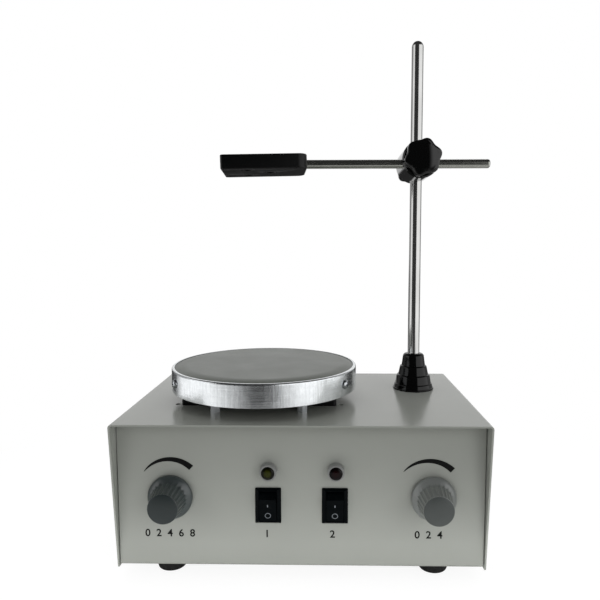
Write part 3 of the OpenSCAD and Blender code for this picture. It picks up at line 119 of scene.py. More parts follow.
class Nodes:
    """A new material with a Principled shader, and short ways to add nodes to it."""

    def __init__(self, name):
        self.mat = bpy.data.materials.new(name)
        self.mat.use_nodes = True
        self.tree = self.mat.node_tree
        self.bsdf = self.tree.nodes["Principled BSDF"]
        self.coord = self.add("ShaderNodeTexCoord").outputs["Object"]

    def add(self, kind, **values):
        n = self.tree.nodes.new(kind)
        for k, v in values.items():
            setattr(n, k, v)
        return n

    def link(self, a, b):
        self.tree.links.new(a, b)

    def noise(self, scale, detail=3.0, rough=0.5, stretch=(1, 1, 1)):
        m = self.add("ShaderNodeMapping")
        m.inputs["Scale"].default_value = stretch
        self.link(self.coord, m.inputs["Vector"])
        n = self.add("ShaderNodeTexNoise")
        n.inputs["Scale"].default_value = scale
        n.inputs["Detail"].default_value = detail
        n.inputs["Roughness"].default_value = rough
        self.link(m.outputs["Vector"], n.inputs["Vector"])
        return n.outputs["Fac"]

    def from_axis(self, mask, x=0.0, y=0.0, z=0.0):
        """Metres from the axis through a drawing point, along the direction that mask leaves out."""
        centre = self.add("ShaderNodeMapping")
        centre.inputs["Location"].default_value = tuple(-c * k for c, k in zip(at(x, y, z), mask))
        centre.inputs["Scale"].default_value = mask
        self.link(self.coord, centre.inputs["Vector"])
        radius = self.add("ShaderNodeVectorMath", operation="LENGTH")
        self.link(centre.outputs["Vector"], radius.inputs[0])
        return radius.outputs["Value"]

    def ramp(self, fac, *stops):
        """A straight ramp through (position, grey) stops."""
        r = self.add("ShaderNodeValToRGB")
        for element, (place, grey) in zip(r.color_ramp.elements, stops):
            element.position = place
            element.color = (grey, grey, grey, 1)
        self.link(fac, r.inputs["Fac"])
        return r.outputs["Color"]

    def mix(self, fac, a, b, blend="MIX"):
        m = self.add("ShaderNodeMix", data_type="RGBA", blend_type=blend)
        for k, v in ((0, fac), (6, a), (7, b)):
            feed(self.tree, v, m.inputs[k])
        return m.outputs[2]

    def bump(self, height, strength, distance):
        """Bump on top of the bumps added before it."""
        b = self.add("ShaderNodeBump")
        b.inputs["Strength"].default_value = strength
        b.inputs["Distance"].default_value = distance
        if self.bsdf.inputs["Normal"].links:
            self.link(self.bsdf.inputs["Normal"].links[0].from_socket, b.inputs["Normal"])
        self.link(height, b.inputs["Height"])
        self.link(b.outputs["Normal"], self.bsdf.inputs["Normal"])

    def finish(self, color, rough, metal=0.0, spec=0.5):
        for name, value in (("Base Color", color), ("Roughness", rough), ("Metallic", metal),
                            ("Specular IOR Level", spec)):
            feed(self.tree, value, self.bsdf.inputs[name])
        return self.mat


def tone(color, k):
    return tuple(min(1.0, c * k) for c in color)


# Materials


def plain(name, color, rough, vary=0.12, grain=900.0, bump=0.08, metal=0.0, spec=0.5):
    """A surface with slow and fine variation of tone, gloss and height."""
    m = Nodes(name)
    slow = m.noise(35.0, 4.0)
    fine = m.noise(grain, 2.0)
    m.bump(fine, bump, 0.0004)
    return m.finish(m.mix(m.ramp(slow, (0.3, 0), (0.7, 1)), tone(color, 1 - vary), tone(color, 1 + vary)),
                    m.ramp(fine, (0.25, rough * 0.85), (0.75, min(1.0, rough * 1.15))), metal, spec)


def powder_coat(name, color):
    """Satin powder coat: fine orange peel, a few specks of dust and faint rubbing marks."""
    m = Nodes(name)
    cloud = m.noise(14.0, 5.0, 0.6)
    speck = m.noise(1400.0, 1.0)
    rub = m.noise(60.0, 6.0, 0.7, (1.0, 0.18, 1.0))
    base = m.mix(m.ramp(cloud, (0.3, 0), (0.7, 1)), tone(color, 0.975), tone(color, 1.025))
    base = m.mix(m.ramp(speck, (0.72, 0), (0.78, 0.15)), base, tone(color, 0.75))
    m.bump(m.noise(900.0, 2.0), 0.03, 0.0003)
    m.bump(cloud, 0.015, 0.002)
    return m.finish(base, m.ramp(rub, (0.3, 0.17), (0.7, 0.22)))


def metal(name, color, rough, streak=(1, 1, 1), grain=500.0, depth=0.15):
    """Bare metal with drawn streaks along one axis and faint stains."""
    m = Nodes(name)
    lines = m.noise(grain, 3.0, 0.6, streak)
    stain = m.noise(45.0, 5.0, 0.6)
    m.bump(lines, depth, 0.0003)
    return m.finish(m.mix(m.ramp(stain, (0.35, 0), (0.7, 1)), tone(color, 0.86), color),
                    m.ramp(stain, (0.3, rough * 0.92), (0.7, rough * 1.12)), metal=1.0)


def lens(name, color, x):
    """Tinted lens, nearly black towards its edge."""
    m = Nodes(name)
    edge = step(m.tree, m.from_axis((1, 0, 1), x, 0, LAMP_Z), 0.0010, (LENS_R - 0.8) * MM)
    middle = m.mix(m.noise(400.0), tone(color, 0.8), tone(color, 1.2))
    return m.finish(m.mix(edge, middle, tone(color, 0.08)),
                    m.ramp(m.noise(300.0), (0.3, 0.08), (0.7, 0.16)), spec=0.2)


def dial(name, cap, barrel, rough):
    """Moulded knob of one plastic: the barrel and skirt take a colour painted lighter for the light on their
    sides, and the cap at its end a colour painted darker for the shade it faces.
    """
    m = Nodes(name)
    slow = m.noise(60.0, 4.0)
    axes = m.add("ShaderNodeSeparateXYZ")
    m.link(m.coord, axes.inputs[0])
    cap_y = at(0, -KNOB_LEN, 0).y
    # Painted shade: only the cap's flat front face takes the darker cap colour; everything behind it, the
    # cap's rounded edge too, takes the barrel colour with its painted light.
    end = step(m.tree, axes.outputs["Y"], cap_y + 0.00009, cap_y + 0.00003)
    cloud = m.ramp(slow, (0.3, 0), (0.7, 1))
    sides = m.mix(cloud, tone(barrel, 0.86), tone(barrel, 1.12))
    m.bump(m.noise(1300.0, 2.0), 0.001, 0.0004)
    return m.finish(m.mix(end, sides, m.mix(cloud, tone(cap, 0.93), tone(cap, 1.06))),
                    m.ramp(slow, (0.25, rough * 0.97), (0.75, rough * 1.03)), spec=0.9)


def plate_coating():
    """Grey heat-resistant coating: softly mottled, with fine grain, and with painted shade darkening the
    sloped edge band.
    """
    m = Nodes("plate_coating")
    mottle = m.noise(60.0, 6.0, 0.6)
    fine = m.noise(2200.0, 2.0)
    base = m.mix(m.ramp(mottle, (0.3, 0), (0.7, 1)), (0.142, 0.156, 0.136), (0.162, 0.177, 0.156))
    # Painted shade: the coating is multiplied darker on the band that slopes down to the rim, 48.5 to 53.5 mm
    # from the plate's middle, where the curved surface turns away from the light.
    edge = step(m.tree, m.from_axis((1, 1, 0), PLATE_X, PLATE_Y), 0.0485, 0.0535)
    base = m.mix(edge, base, m.mix(1.0, base, (0.78, 0.79, 0.76), "MULTIPLY"))
    base = m.mix(m.ramp(fine, (0.62, 0), (0.72, 0.25)), base, (0.16, 0.165, 0.15))
    m.bump(fine, 0.15, 0.0003)
    m.bump(mottle, 0.05, 0.001)
    return m.finish(base, m.ramp(mottle, (0.3, 0.34), (0.7, 0.42)))


def spun_aluminium():
    """Turning lines round the rim, upright rolling marks and shallow dents."""
    m = Nodes("spun_aluminium")
    turning = m.noise(900.0, 3.0, 0.6, (0.03, 0.03, 1.0))
    upright = m.noise(620.0, 4.0, 0.7, (1.0, 1.0, 0.05))
    dents = m.noise(70.0, 3.0, 0.5, (1.0, 1.0, 0.5))
    stain = m.noise(150.0, 5.0, 0.7)
    base = m.mix(m.ramp(stain, (0.4, 0), (0.7, 1)), (0.76, 0.785, 0.80), (0.88, 0.905, 0.92))
    base = m.mix(m.ramp(upright, (0.45, 0.0), (0.75, 0.40)), base, (0.50, 0.53, 0.55))
    m.bump(turning, 0.05, 0.0003)
    m.bump(upright, 0.20, 0.0004)
    m.bump(dents, 0.25, 0.0012)
    return m.finish(base, m.ramp(turning, (0.3, 0.18), (0.7, 0.26)), metal=1.0)


PAINT = powder_coat("powder_coat", (0.345, 0.358, 0.328))
BLACK_GLOSS = plain("black_gloss", (0.0007, 0.0008, 0.0009), 0.05, 0.15, 700.0, 0.004)
BOOT = plain("boot_plastic", (0.0014, 0.0015, 0.0015), 0.09, 0.15, 500.0, 0.01, spec=0.32)
BLACK_SATIN = plain("black_satin", (0.0022, 0.0024, 0.0026), 0.42, 0.2, 1200.0, 0.08, spec=0.3)
GRIP = plain("grip_plastic", (0.0004, 0.0005, 0.0006), 0.36, 0.2, 1200.0, 0.02, spec=0.26)
SWITCH = plain("switch_plastic", (0.0010, 0.0020, 0.0026), 0.16, 0.2, 900.0, 0.004, spec=0.04)
RUBBER = plain("rubber", (0.008, 0.008, 0.008), 0.65, 0.2, 1500.0, 0.3)
# Painted light and shade: both dials are one plastic, but the right dial's colours are painted lighter for
# the window light falling on it and the left dial's darker.
SHADED_LEFT_DIAL = dial("dial_left_shaded", (0.004, 0.011, 0.012), (0.036, 0.047, 0.048), 0.32)
LIT_RIGHT_DIAL = dial("dial_right_lit", (0.050, 0.058, 0.056), (0.175, 0.186, 0.180), 0.28)
COLLAR = plain("collar", (0.24, 0.245, 0.24), 0.40, 0.1)
PRINT = plain("print_ink", (0.0016, 0.0017, 0.0018), 0.5, 0.1, spec=0.2)
MARK = plain("mark_ink", (0.17, 0.19, 0.21), 0.5, 0.1)
ROD = metal("drawn_rod", (0.62, 0.62, 0.61), 0.12, (1, 1, 0.02), 700.0, 0.0015)
ARM = metal("drawn_arm", (0.46, 0.465, 0.43), 0.18, (0.02, 1, 1), 700.0, 0.002)
ZINC = metal("zinc", (0.62, 0.62, 0.61), 0.28)
BRIGHT = metal("bright_screw", (0.50, 0.52, 0.54), 0.18)
SHIELD = metal("shield_sheet", (0.50, 0.50, 0.49), 0.38)
BRASS = metal("brass", (0.62, 0.47, 0.20), 0.3)
MAGNET = metal("magnet", (0.16, 0.16, 0.17), 0.35)
HEATER = metal("heater_strip", (0.28, 0.25, 0.22), 0.5)
SINK = metal("sink_aluminium", (0.62, 0.63, 0.64), 0.32)
MICA = plain("mica", (0.50, 0.40, 0.24), 0.35, 0.3)
FIBRE = plain("fibre", (0.78, 0.76, 0.70), 0.95, 0.1, 300.0, 0.6)
WHITE = plain("white_plastic", (0.70, 0.69, 0.64), 0.45)
MOTOR = plain("motor_paint", (0.13, 0.135, 0.14), 0.4, 0.1, metal=0.6)
BOARD = plain("board", (0.02, 0.12, 0.045), 0.35, 0.25, 260.0, 0.1)
CHIP = plain("chip", (0.02, 0.02, 0.02), 0.6)
CAPACITOR = plain("capacitor", (0.36, 0.05, 0.03), 0.4)
TERMINAL = plain("terminal", (0.02, 0.17, 0.09), 0.42)
WIRE = plain("wire", (0.26, 0.03, 0.02), 0.45)
THIN_WIRE = plain("thin_wire", (0.03, 0.05, 0.20), 0.45)
AMBER = lens("amber_lens", (0.026, 0.029, 0.002), LAMP_XS[0])
RED = lens("red_lens", (0.009, 0.002, 0.002), LAMP_XS[1])
FUSE_GLASS = plain("fuse_glass", (0.6, 0.64, 0.64), 0.08, 0.05)
PLATE = plate_coating()
RIM = spun_aluminium()

CAD_LOOK = {
    "chassis": PAINT, "top_cover": PAINT, "cover_screws": BRIGHT, "rubber_feet": RUBBER,
    "foot_screws": ZINC, "m3_nuts": ZINC, "hot_plate": PLATE, "plate_rim": RIM, "rim_screws": BRIGHT,
    "heater_element": HEATER, "mica_sheets": MICA, "insulation_pad": FIBRE, "temperature_sensor": ZINC,
    "heat_shield": SHIELD, "plate_posts": BRIGHT, "lead_grommet": RUBBER, "insulating_block": BLACK_SATIN,
    "drive_screws": ZINC, "motor_bracket": ZINC, "motor_case": MOTOR, "motor_shaft": ROD,
    "magnet_holder": WHITE, "drive_magnets": MAGNET, "dial_pots": MOTOR, "pot_nuts": BRASS,
    "temperature_shaft": SINK, "temperature_knob": SHADED_LEFT_DIAL, "speed_shaft": SINK, "speed_knob": LIT_RIGHT_DIAL,
    "switch_cases": SWITCH, "switch_terminals": BRASS, "heat_rocker": SWITCH, "power_rocker": SWITCH,
    "lamp_collars": COLLAR, "heat_lamp_lens": AMBER, "power_lamp_lens": RED, "control_board": BOARD,
    "board_posts": WHITE, "heat_sinks": SINK, "triacs": CHIP, "capacitors": CAPACITOR,
    "board_connectors": TERMINAL, "power_wiring": WIRE, "panel_wiring": THIN_WIRE,
    "mains_inlet": BLACK_SATIN, "inlet_pins": BRASS, "inlet_screws": BRIGHT, "fuse_holder": BLACK_SATIN,
    "glass_fuse": FUSE_GLASS, "fuse_cap": BLACK_SATIN, "support_rod": ROD, "rod_nuts": ZINC,
    "rod_boot": BOOT, "clamp_body": BLACK_GLOSS, "front_clamp_screw": ZINC,
    "front_clamp_knob": BLACK_GLOSS, "rear_clamp_screw": ZINC, "rear_clamp_knob": BLACK_GLOSS,
    "arm_rod": ARM, "holder_plate": GRIP,
}

for name, material in CAD_LOOK.items():
    node = nodes[name]
    node.data.materials.clear()
    node.data.materials.append(material)


# Shapes


def edge_break(piece, width):
    """Small rounds on a node's sharp edges."""
    b = piece.modifiers.new("edge break", "BEVEL")
    b.width = width * MM
    b.segments = 2
    b.limit_method = "ANGLE"
    b.angle_limit = math.radians(30)
    b.harden_normals = True


def smooth(piece, angle):
    for p in piece.data.polygons:
        p.use_smooth = True
    piece.data.set_sharp_from_angle(angle=math.radians(angle))


def shape(name, body, material, verts, faces, angle=32, replaces=None):
    mesh = bpy.data.meshes.new(name)
    mesh.from_pydata([tuple(v) for v in verts], [], faces)
    mesh.validate()
    mesh.materials.append(material)
    piece = bpy.data.objects.new(name, mesh)
    scene.collection.objects.link(piece)
    smooth(piece, angle)
    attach(piece, body)
    if replaces:
        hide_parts(replaces)


def round_angles(n):
    return [2 * math.pi * i / n for i in range(n)]


def skin(rings, capped=True):
    """Vertices and faces of a tube through closed rings, with a flat cap at either end."""
    n = len(rings[0])
    verts = [p for ring in rings for p in ring]
    faces = []
    for k in range(len(rings) - 1):
        for i in range(n):
            j = (i + 1) % n
            faces.append((k * n + i, k * n + j, (k + 1) * n + j, (k + 1) * n + i))
    if capped:
        faces.append(tuple(range(n - 1, -1, -1)))
        faces.append(tuple((len(rings) - 1) * n + i for i in range(n)))
    return verts, faces


def turned(name, body, material, centre, axis, profile, n, replaces):
    """A solid of revolution from [radius, height] points that start and end on the axis or close up."""
    middle = Vector(centre)

    def ring(r, h):
        return [at(*(middle + TURN[axis] @ Vector((r * math.cos(a), r * math.sin(a), h))))
                for a in round_angles(n)]

    rings = [ring(r, h) for r, h in profile if r > 0]
    hollow = profile[0][0] > 0 and profile[-1][0] > 0
    verts, faces = skin(rings, capped=not hollow)
    if hollow:
        end = (len(rings) - 1) * n
        faces += [(end + i, end + (i + 1) % n, (i + 1) % n, i) for i in range(n)]
    shape(name, body, material, verts, faces, replaces=replaces)


def bow(centre, r, start, end, n=8):
    """Points of [radius, height] on an arc, between two angles in degrees."""
    angles = [math.radians(start + (end - start) * i / n) for i in range(n + 1)]
    return [(centre[0] + r * math.cos(a), centre[1] + r * math.sin(a)) for a in angles]


for name in ("chassis", "top_cover"):
    edge_break(nodes[name], 0.18)


# Hot plate: flat in the middle, then a band that curves down to the rim's lip

PLATE_R, PLATE_T = 58.6, 4.2
BAND_W, BAND_DROP, PROUD = 8.0, 1.5, 0.9
BAND_R = 50.2

band = [(BAND_R + BAND_W * t, RIM_TOP + PROUD - BAND_DROP * t * t) for t in (i / 20 for i in range(21))]
band_foot = RIM_TOP + PROUD - BAND_DROP
turned("coated_plate", "housing", PLATE, (PLATE_X, PLATE_Y, 0), "+Z",
       [(0, band_foot - PLATE_T), (PLATE_R, band_foot - PLATE_T), (PLATE_R, band_foot)] + band[::-1]
       + [(0, RIM_TOP + PROUD)],
       n=256, replaces="hot_plate")


# Rod, arm and boot

ARM_START, ARM_END = -13.8, 121.5
ARM_ROUND, ARM_CHAMFER, ROD_CHAMFER = 1.6, 0.4, 0.5
arm_length = ARM_END - ARM_START

turned("bar", "rod", ROD, (ROD_X, ROD_Y, 0), "+Z",
       [(0, ROD_FOOT), (ROD_R - ROD_CHAMFER, ROD_FOOT), (ROD_R, ROD_FOOT + ROD_CHAMFER)]
       + bow((0, ROD_END - ROD_R), ROD_R, 0, 88, 16) + [(0, ROD_END)],
       n=96, replaces="support_rod")
turned("cross_bar", "arm", ARM, (ARM_START, ARM_Y, ARM_Z), "+X",
       [(0, 0), (ARM_R - ARM_CHAMFER, 0), (ARM_R, ARM_CHAMFER), (ARM_R, arm_length - ARM_ROUND)]
       + bow((ARM_R - ARM_ROUND, arm_length - ARM_ROUND), ARM_ROUND, 0, 88) + [(0, arm_length)],
       n=96, replaces="arm_rod")


def tier(foot_r, top_r, foot, top, fillet):
    """One step of the boot, with its upper edge rounded."""
    return [(foot_r, foot), (top_r, top - fillet)] + bow((top_r - fillet, top - fillet), fillet, 12, 90)


BOOT_R, BOOT_H, BOOT_BORE = 14.0, 25.0, 4.05
NUT_POCKET_R, NUT_POCKET_H = 7.9, 7.0
FLANGE_T, FLANGE_ROUND = 1.0, 0.3

# Radius at the foot and at the top, heights of both, and rounding of the upper edge
TIERS = [(13.6, 13.1, 1.35, 4.25, 1.1), (12.4, 11.5, 4.25, 10.25, 1.3), (10.3, 9.3, 10.25, 16.5, 1.3),
         (8.1, 7.3, 16.5, BOOT_H, 2.4)]

boot = [(NUT_POCKET_R, 0), (BOOT_R, 0), (BOOT_R, FLANGE_T)]
boot += bow((BOOT_R - FLANGE_ROUND, FLANGE_T), FLANGE_ROUND, 0, 90, 3)
for sizes in TIERS:
    boot += tier(*sizes)
boot += [(BOOT_BORE, BOOT_H), (BOOT_BORE, NUT_POCKET_H), (NUT_POCKET_R, NUT_POCKET_H)]
turned("stepped_boot", "housing", BOOT, (ROD_X, ROD_Y, TOP), "+Z", boot, n=128, replaces="rod_boot")


# Dials

FLUTES, FLUTE_POINTS, FLUTE_SHARE, FLUTE_DEPTH = 24, 14, 0.76, 0.55

# Radius, distance from the panel and depth of the flutes, from the skirt's back to the cap
SKIRT = [(12.6, 0.8, 0), (13.0, 1.2, 0), (13.0, 2.3, 0), (12.7, 2.9, 0), (11.6, 3.9, 0), (10.7, 4.6, 0),
         (10.25, 5.1, 0.2), (10.1, 5.5, 0.45)]
BARREL = [(9.95 - 1.2 * t, 6.2 + 10.6 * t, FLUTE_DEPTH) for t in (k / 8 for k in range(9))]
CAP = [(8.7, 17.2, 0.4), (8.65, 17.5, 0.2), (8.58, 17.75, 0.05), (8.45, 17.92, 0), (8.2, KNOB_LEN, 0)]


def fluted(name, body, material, x, node):
    """Conical skirt and a barrel whose flutes run out at the cap's thin edge, which is painted light like the
    barrel.
    """
    middle = Vector((x, 0, DIAL_Z))
    rings = []
    for r, h, depth in SKIRT + BARREL + CAP:
        ring = []
        for i, a in enumerate(round_angles(FLUTES * FLUTE_POINTS)):
            across = ((i % FLUTE_POINTS) / FLUTE_POINTS - 0.5) / (FLUTE_SHARE / 2)
            cut = r - depth * math.sqrt(max(0.0, 1 - across ** 2))
            ring.append(at(*(middle + TURN["-Y"] @ Vector((cut * math.cos(a), cut * math.sin(a), h)))))
        rings.append(ring)
    verts, faces = skin(rings)
    shape(name, body, material, verts, faces, 50, node)


fluted("left_dial", "temperature_dial", SHADED_LEFT_DIAL, DIAL_XS[0], "temperature_knob")
fluted("right_dial", "speed_dial", LIT_RIGHT_DIAL, DIAL_XS[1], "speed_knob")


# Clamp and its knobs

STAR_R, STAR_T, STAR_POINTS = 12.1, 8.0, 216
LOBES, LOBE_H, LOBE_TURN = 6, 0.8, math.radians(15.4)
FACE_R, FACE_DOME, EDGE_DROP, EDGE_INSET = 9.3, 0.85, 2.0, 1.6

# Inset and height of the rounded edge at a star's back
BACK_EDGE = [(0.8, 0.0), (0.25, 0.2), (0.0, 0.8)]


def star(name, body, y, facing, node):
    """Six-lobed knob whose lobes fall away from a slightly domed round face."""
    middle = Vector((ROD_X, y, CLAMP_Z))
    angles = round_angles(STAR_POINTS)
    lobes = [STAR_R - LOBE_H + LOBE_H * math.cos(LOBES * (a - LOBE_TURN)) for a in angles]

    def ring(radii, h):
        return [at(*(middle + TURN[facing] @ Vector((r * math.cos(a), r * math.sin(a), h))))
                for a, r in zip(angles, radii)]

    def rounded(inset, share):
        """From the lobed outline, less an inset, to the round face as share goes from 0 to 1."""
        return [(r - inset) * (1 - share) + FACE_R * share for r in lobes]

    rings = [ring(rounded(inset, 0), h) for inset, h in BACK_EDGE]
    for k in range(9):
        q = math.radians(90 * k / 8)
        h = STAR_T - EDGE_DROP + (EDGE_DROP - FACE_DOME) * math.sin(q)
        rings.append(ring(rounded(EDGE_INSET * (1 - math.cos(q)), (k / 8) ** 2), h))
    for k in range(1, 7):
        r = FACE_R * (1 - k / 7)
        rings.append(ring([r] * STAR_POINTS, STAR_T - FACE_DOME * (r / FACE_R) ** 2))
    verts, faces = skin(rings)
    shape(name, body, BLACK_GLOSS, verts, faces, 40, node)


star("front_star", "front_knob", STAR_FRONT_Y, "-Y", "front_clamp_knob")
star("rear_star", "rear_knob", STAR_REAR_Y, "+Y", "rear_clamp_knob")
smooth(nodes["clamp_body"], 40)


# Holder plate, drawn flat from the middle of its right end and then set askew on the arm

GRIP_END, GRIP_SEAT = 1.2, 0.4
GRIP_L, GRIP_HALF, GRIP_T, GRIP_EDGE = 54.0, 21.5, 9.0, 0.7
CORNER_R, FREE_CORNER_R = 6.0, 2.0
GRIP_YAW, GRIP_DROOP = math.radians(5), math.radians(-1.5)
EYE_X, EYE_R = -23.5, 4.3
JAW_X, JAW_DY, JAW_R, SLIT_HALF = -37.8, 12.5, 3.8, 0.8
BORE_R, BORE_FOOT, BORE_MOUTH = ARM_R + 0.06, ARM_START - 0.2, 5.0


def baked(tmp):
    """The mesh of a curve, text or modified object, which is then deleted."""
    scene.collection.objects.link(tmp)
    bpy.context.view_layer.update()
    mesh = bpy.data.meshes.new_from_object(tmp.evaluated_get(bpy.context.evaluated_depsgraph_get()))
    bpy.data.objects.remove(tmp)
    return mesh


def flat_arc(cx, cy, r, n, start, end):
    """n points on an arc, both ends included, between two angles in degrees."""
    angles = [math.radians(start + (end - start) * i / (n - 1)) for i in range(n)]
    return [(cx + r * math.cos(a), cy + r * math.sin(a)) for a in angles]


def jaw(cy):
    """A slit's two walls and the hole it opens into, walked from the plate's free end."""
    gap = math.degrees(math.asin(SLIT_HALF / JAW_R))
    return ([(-GRIP_L, cy + SLIT_HALF)] + flat_arc(JAW_X, cy, JAW_R, 44, 180 - gap, -180 + gap)
            + [(-GRIP_L, cy - SLIT_HALF)])


def grip_outline():
    near, far = -CORNER_R, FREE_CORNER_R - GRIP_L
    return (flat_arc(near, CORNER_R - GRIP_HALF, CORNER_R, 12, -90, 0)
            + flat_arc(near, GRIP_HALF - CORNER_R, CORNER_R, 12, 0, 90)
            + flat_arc(far, GRIP_HALF - FREE_CORNER_R, FREE_CORNER_R, 8, 90, 180)
            + jaw(JAW_DY) + jaw(-JAW_DY)
            + flat_arc(far, FREE_CORNER_R - GRIP_HALF, FREE_CORNER_R, 8, 180, 270))


def arm_drill():
    """What the arm's bore takes out of the plate."""
    rings = [[at(x, ARM_Y + BORE_R * math.cos(a), ARM_Z + BORE_R * math.sin(a)) for a in round_angles(64)]
             for x in (BORE_FOOT, BORE_MOUTH)]
    mesh = bpy.data.meshes.new("drill")
    verts, faces = skin(rings)
    mesh.from_pydata(verts, [], faces)
    drill = bpy.data.objects.new("drill", mesh)
    scene.collection.objects.link(drill)
    return drill


def grip_plate():
    """A flat plate with an eye, two slit holes and rounded edges, bored for the arm."""
    flat = bpy.data.curves.new("grip_plate", "CURVE")
    flat.dimensions = "2D"
    flat.fill_mode = "BOTH"
    eye = [(EYE_X + EYE_R * math.cos(a), EYE_R * math.sin(a)) for a in round_angles(48)]
    for loop in (grip_outline(), eye[::-1]):
        spline = flat.splines.new("POLY")
        spline.points.add(len(loop) - 1)
        for point, (x, y) in zip(spline.points, loop):
            point.co = (x * MM, y * MM, 0, 1)
        spline.use_cyclic_u = True
    flat.extrude = (GRIP_T / 2 - GRIP_EDGE) * MM
    flat.bevel_depth = GRIP_EDGE * MM
    flat.bevel_resolution = 3
    flat.offset = -GRIP_EDGE * MM
    mesh = baked(bpy.data.objects.new("grip_plate_curve", flat))
    mesh.transform(Matrix.Translation(at(GRIP_END, ARM_Y, ARM_Z - GRIP_SEAT))
                   @ Matrix.Rotation(GRIP_YAW, 4, "Z") @ Matrix.Rotation(GRIP_DROOP, 4, "Y"))
    bm = bmesh.new()
    bm.from_mesh(mesh)
    bmesh.ops.remove_doubles(bm, verts=bm.verts, dist=1e-6)
    bm.to_mesh(mesh)
    bm.free()
    mesh.materials.clear()
    mesh.materials.append(GRIP)
    drill = arm_drill()
    solid = bpy.data.objects.new("grip_plate_solid", mesh)
    cut = solid.modifiers.new("bore", "BOOLEAN")
    cut.object, cut.operation, cut.solver = drill, "DIFFERENCE", "EXACT"
    piece = bpy.data.objects.new("grip_plate", baked(solid))
    scene.collection.objects.link(piece)
    bpy.data.objects.remove(drill)
    smooth(piece, 35)
    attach(piece, "holder")
    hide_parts("holder_plate")


grip_plate()


# Prints and marks

INK = 0.06


def flat_print(name, body, material, strips):
    """Thin ink shapes on the panel, each between two rows of (x, z) points."""
    verts, faces = [], []
    for left, right in strips:
        base = len(verts)
        n = len(left)
        for y in (0.0, -INK):
            verts += [at(x, y, z) for x, z in left] + [at(x, y, z) for x, z in right]
        f = base + 2 * n
        for i in range(n - 1):
            faces.append((base + i, base + i + 1, base + n + i + 1, base + n + i))
            faces.append((f + i, f + n + i, f + n + i + 1, f + i + 1))
            faces.append((base + i, f + i, f + i + 1, base + i + 1))
            faces.append((base + n + i, base + n + i + 1, f + n + i + 1, f + n + i))
        for i in (0, n - 1):
            faces.append((base + i, base + n + i, f + n + i, f + i))
    shape(name, body, material, verts, faces, 30)


def taper_arc(cx, cz, r, start, end, end_width):
    """An arc that starts as a point and widens, faster at first."""
    inner, outer = [], []
    for t in (i / 40 for i in range(41)):
        a = math.radians(start + (end - start) * t)
        half = (0.02 + end_width * t ** 0.6) / 2
        inner.append((cx + (r - half) * math.cos(a), cz + (r - half) * math.sin(a)))
        outer.append((cx + (r + half) * math.cos(a), cz + (r + half) * math.sin(a)))
    return inner, outer


flat_print("dial_arcs", "housing", PRINT,
           [taper_arc(DIAL_XS[0] - 0.55, DIAL_Z + 3.55, 18.4, 144.0, 46.3, 3.5),
            taper_arc(DIAL_XS[1] - 2.7, DIAL_Z + 2.3, 19.5, 138.9, 45.9, 3.5)])

NUMERAL_H, NUMERAL_Z = 6.2, TOP - 67.6
INK_SPREAD = 0.11


def numbers(name, text, x):
    """Plain numerals printed on the panel, centred on x."""
    font = bpy.data.curves.new(name, "FONT")
    font.body = text
    font.size = NUMERAL_H * MM
    font.align_x, font.align_y = "CENTER", "CENTER"
    font.extrude = INK / 2 * MM
    font.offset = INK_SPREAD * MM
    mesh = baked(bpy.data.objects.new(name + "_text", font))
    mesh.transform(Matrix.Translation(at(x, -INK / 2, NUMERAL_Z)) @ Matrix.Rotation(math.pi / 2, 4, "X"))
    mesh.materials.clear()
    mesh.materials.append(PRINT)
    piece = bpy.data.objects.new(name, mesh)
    scene.collection.objects.link(piece)
    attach(piece, "housing")


numbers("left_numbers", "0  2  4  6  8", DIAL_XS[0] - 0.9)
numbers("right_numbers", "0  2  4", DIAL_XS[1] - 2.4)
numbers("heat_number", "1", SWITCH_XS[0] - 0.8)
numbers("power_number", "2", SWITCH_XS[1] - 1.4)

# A rocker's face, from the pivot behind the panel: how far in front its ends lie, half its height,
# and how deep its middle is hollowed
ROCKER_TILT = math.radians(15)
PIVOT_Y, FACE_Y, FACE_HALF, HOLLOW = 2.4, -6.334, 7.413, 0.4
BAR_HALF, BAR_TOP, BAR_FOOT = 0.3, 3.9, 2.2
CIRCLE_V, CIRCLE_INNER, CIRCLE_OUTER = -3.7, 1.4, 1.75
MARK_T = 0.07


def on_rocker(x, v, lift):
    """A point v millimetres up the rocker's face, lifted off it, in the drawing at rest."""
    y = FACE_Y + (1 - abs(v) / FACE_HALF) * HOLLOW - lift
    c, s = math.cos(ROCKER_TILT), math.sin(ROCKER_TILT)
    return x, PIVOT_Y + y * c - v * s, SWITCH_Z + y * s + v * c


def rocker_marks(name, body, x):
    """A bar on the rocker's upper half and a ring on its lower half."""
    verts, faces = [], []

    def patch(rows):
        base = len(verts)
        n = len(rows[0])
        for lift in (0.0, MARK_T):
            for row in rows:
                verts.extend(at(*on_rocker(x + dx, v, lift)) for dx, v in row)
        half = len(rows) * n
        for a in range(len(rows) - 1):
            for b in range(n - 1):
                q = base + a * n + b
                faces.append((q, q + n, q + n + 1, q + 1))
                faces.append((q + half, q + half + 1, q + half + n + 1, q + half + n))
        for b in range(n - 1):
            q, w = base + b, base + (len(rows) - 1) * n + b
            faces.append((q, q + 1, q + half + 1, q + half))
            faces.append((w, w + half, w + half + 1, w + 1))

    patch([[(side, BAR_TOP), (side, BAR_FOOT)] for side in (-BAR_HALF, BAR_HALF)])
    patch([flat_arc(0, CIRCLE_V, r, 37, 0, 360) for r in (CIRCLE_INNER, CIRCLE_OUTER)])
    shape(name, body, MARK, verts, faces, 30)


rocker_marks("heat_marks", "heat_switch_rocker", SWITCH_XS[0])
rocker_marks("power_marks", "power_switch_rocker", SWITCH_XS[1])

for name in ("heat_rocker", "power_rocker", "switch_cases"):
    edge_break(nodes[name], 0.25)


# Floor: a round pale sheet that the camera sees fade into the white backdrop

FLOOR_R, FLOOR_Z, FADE_FROM, FADE_TO = 0.36, -0.0002, 0.14, 0.34
FLOOR_GLOW, FLOOR_SHADE = 0.90, 0.20


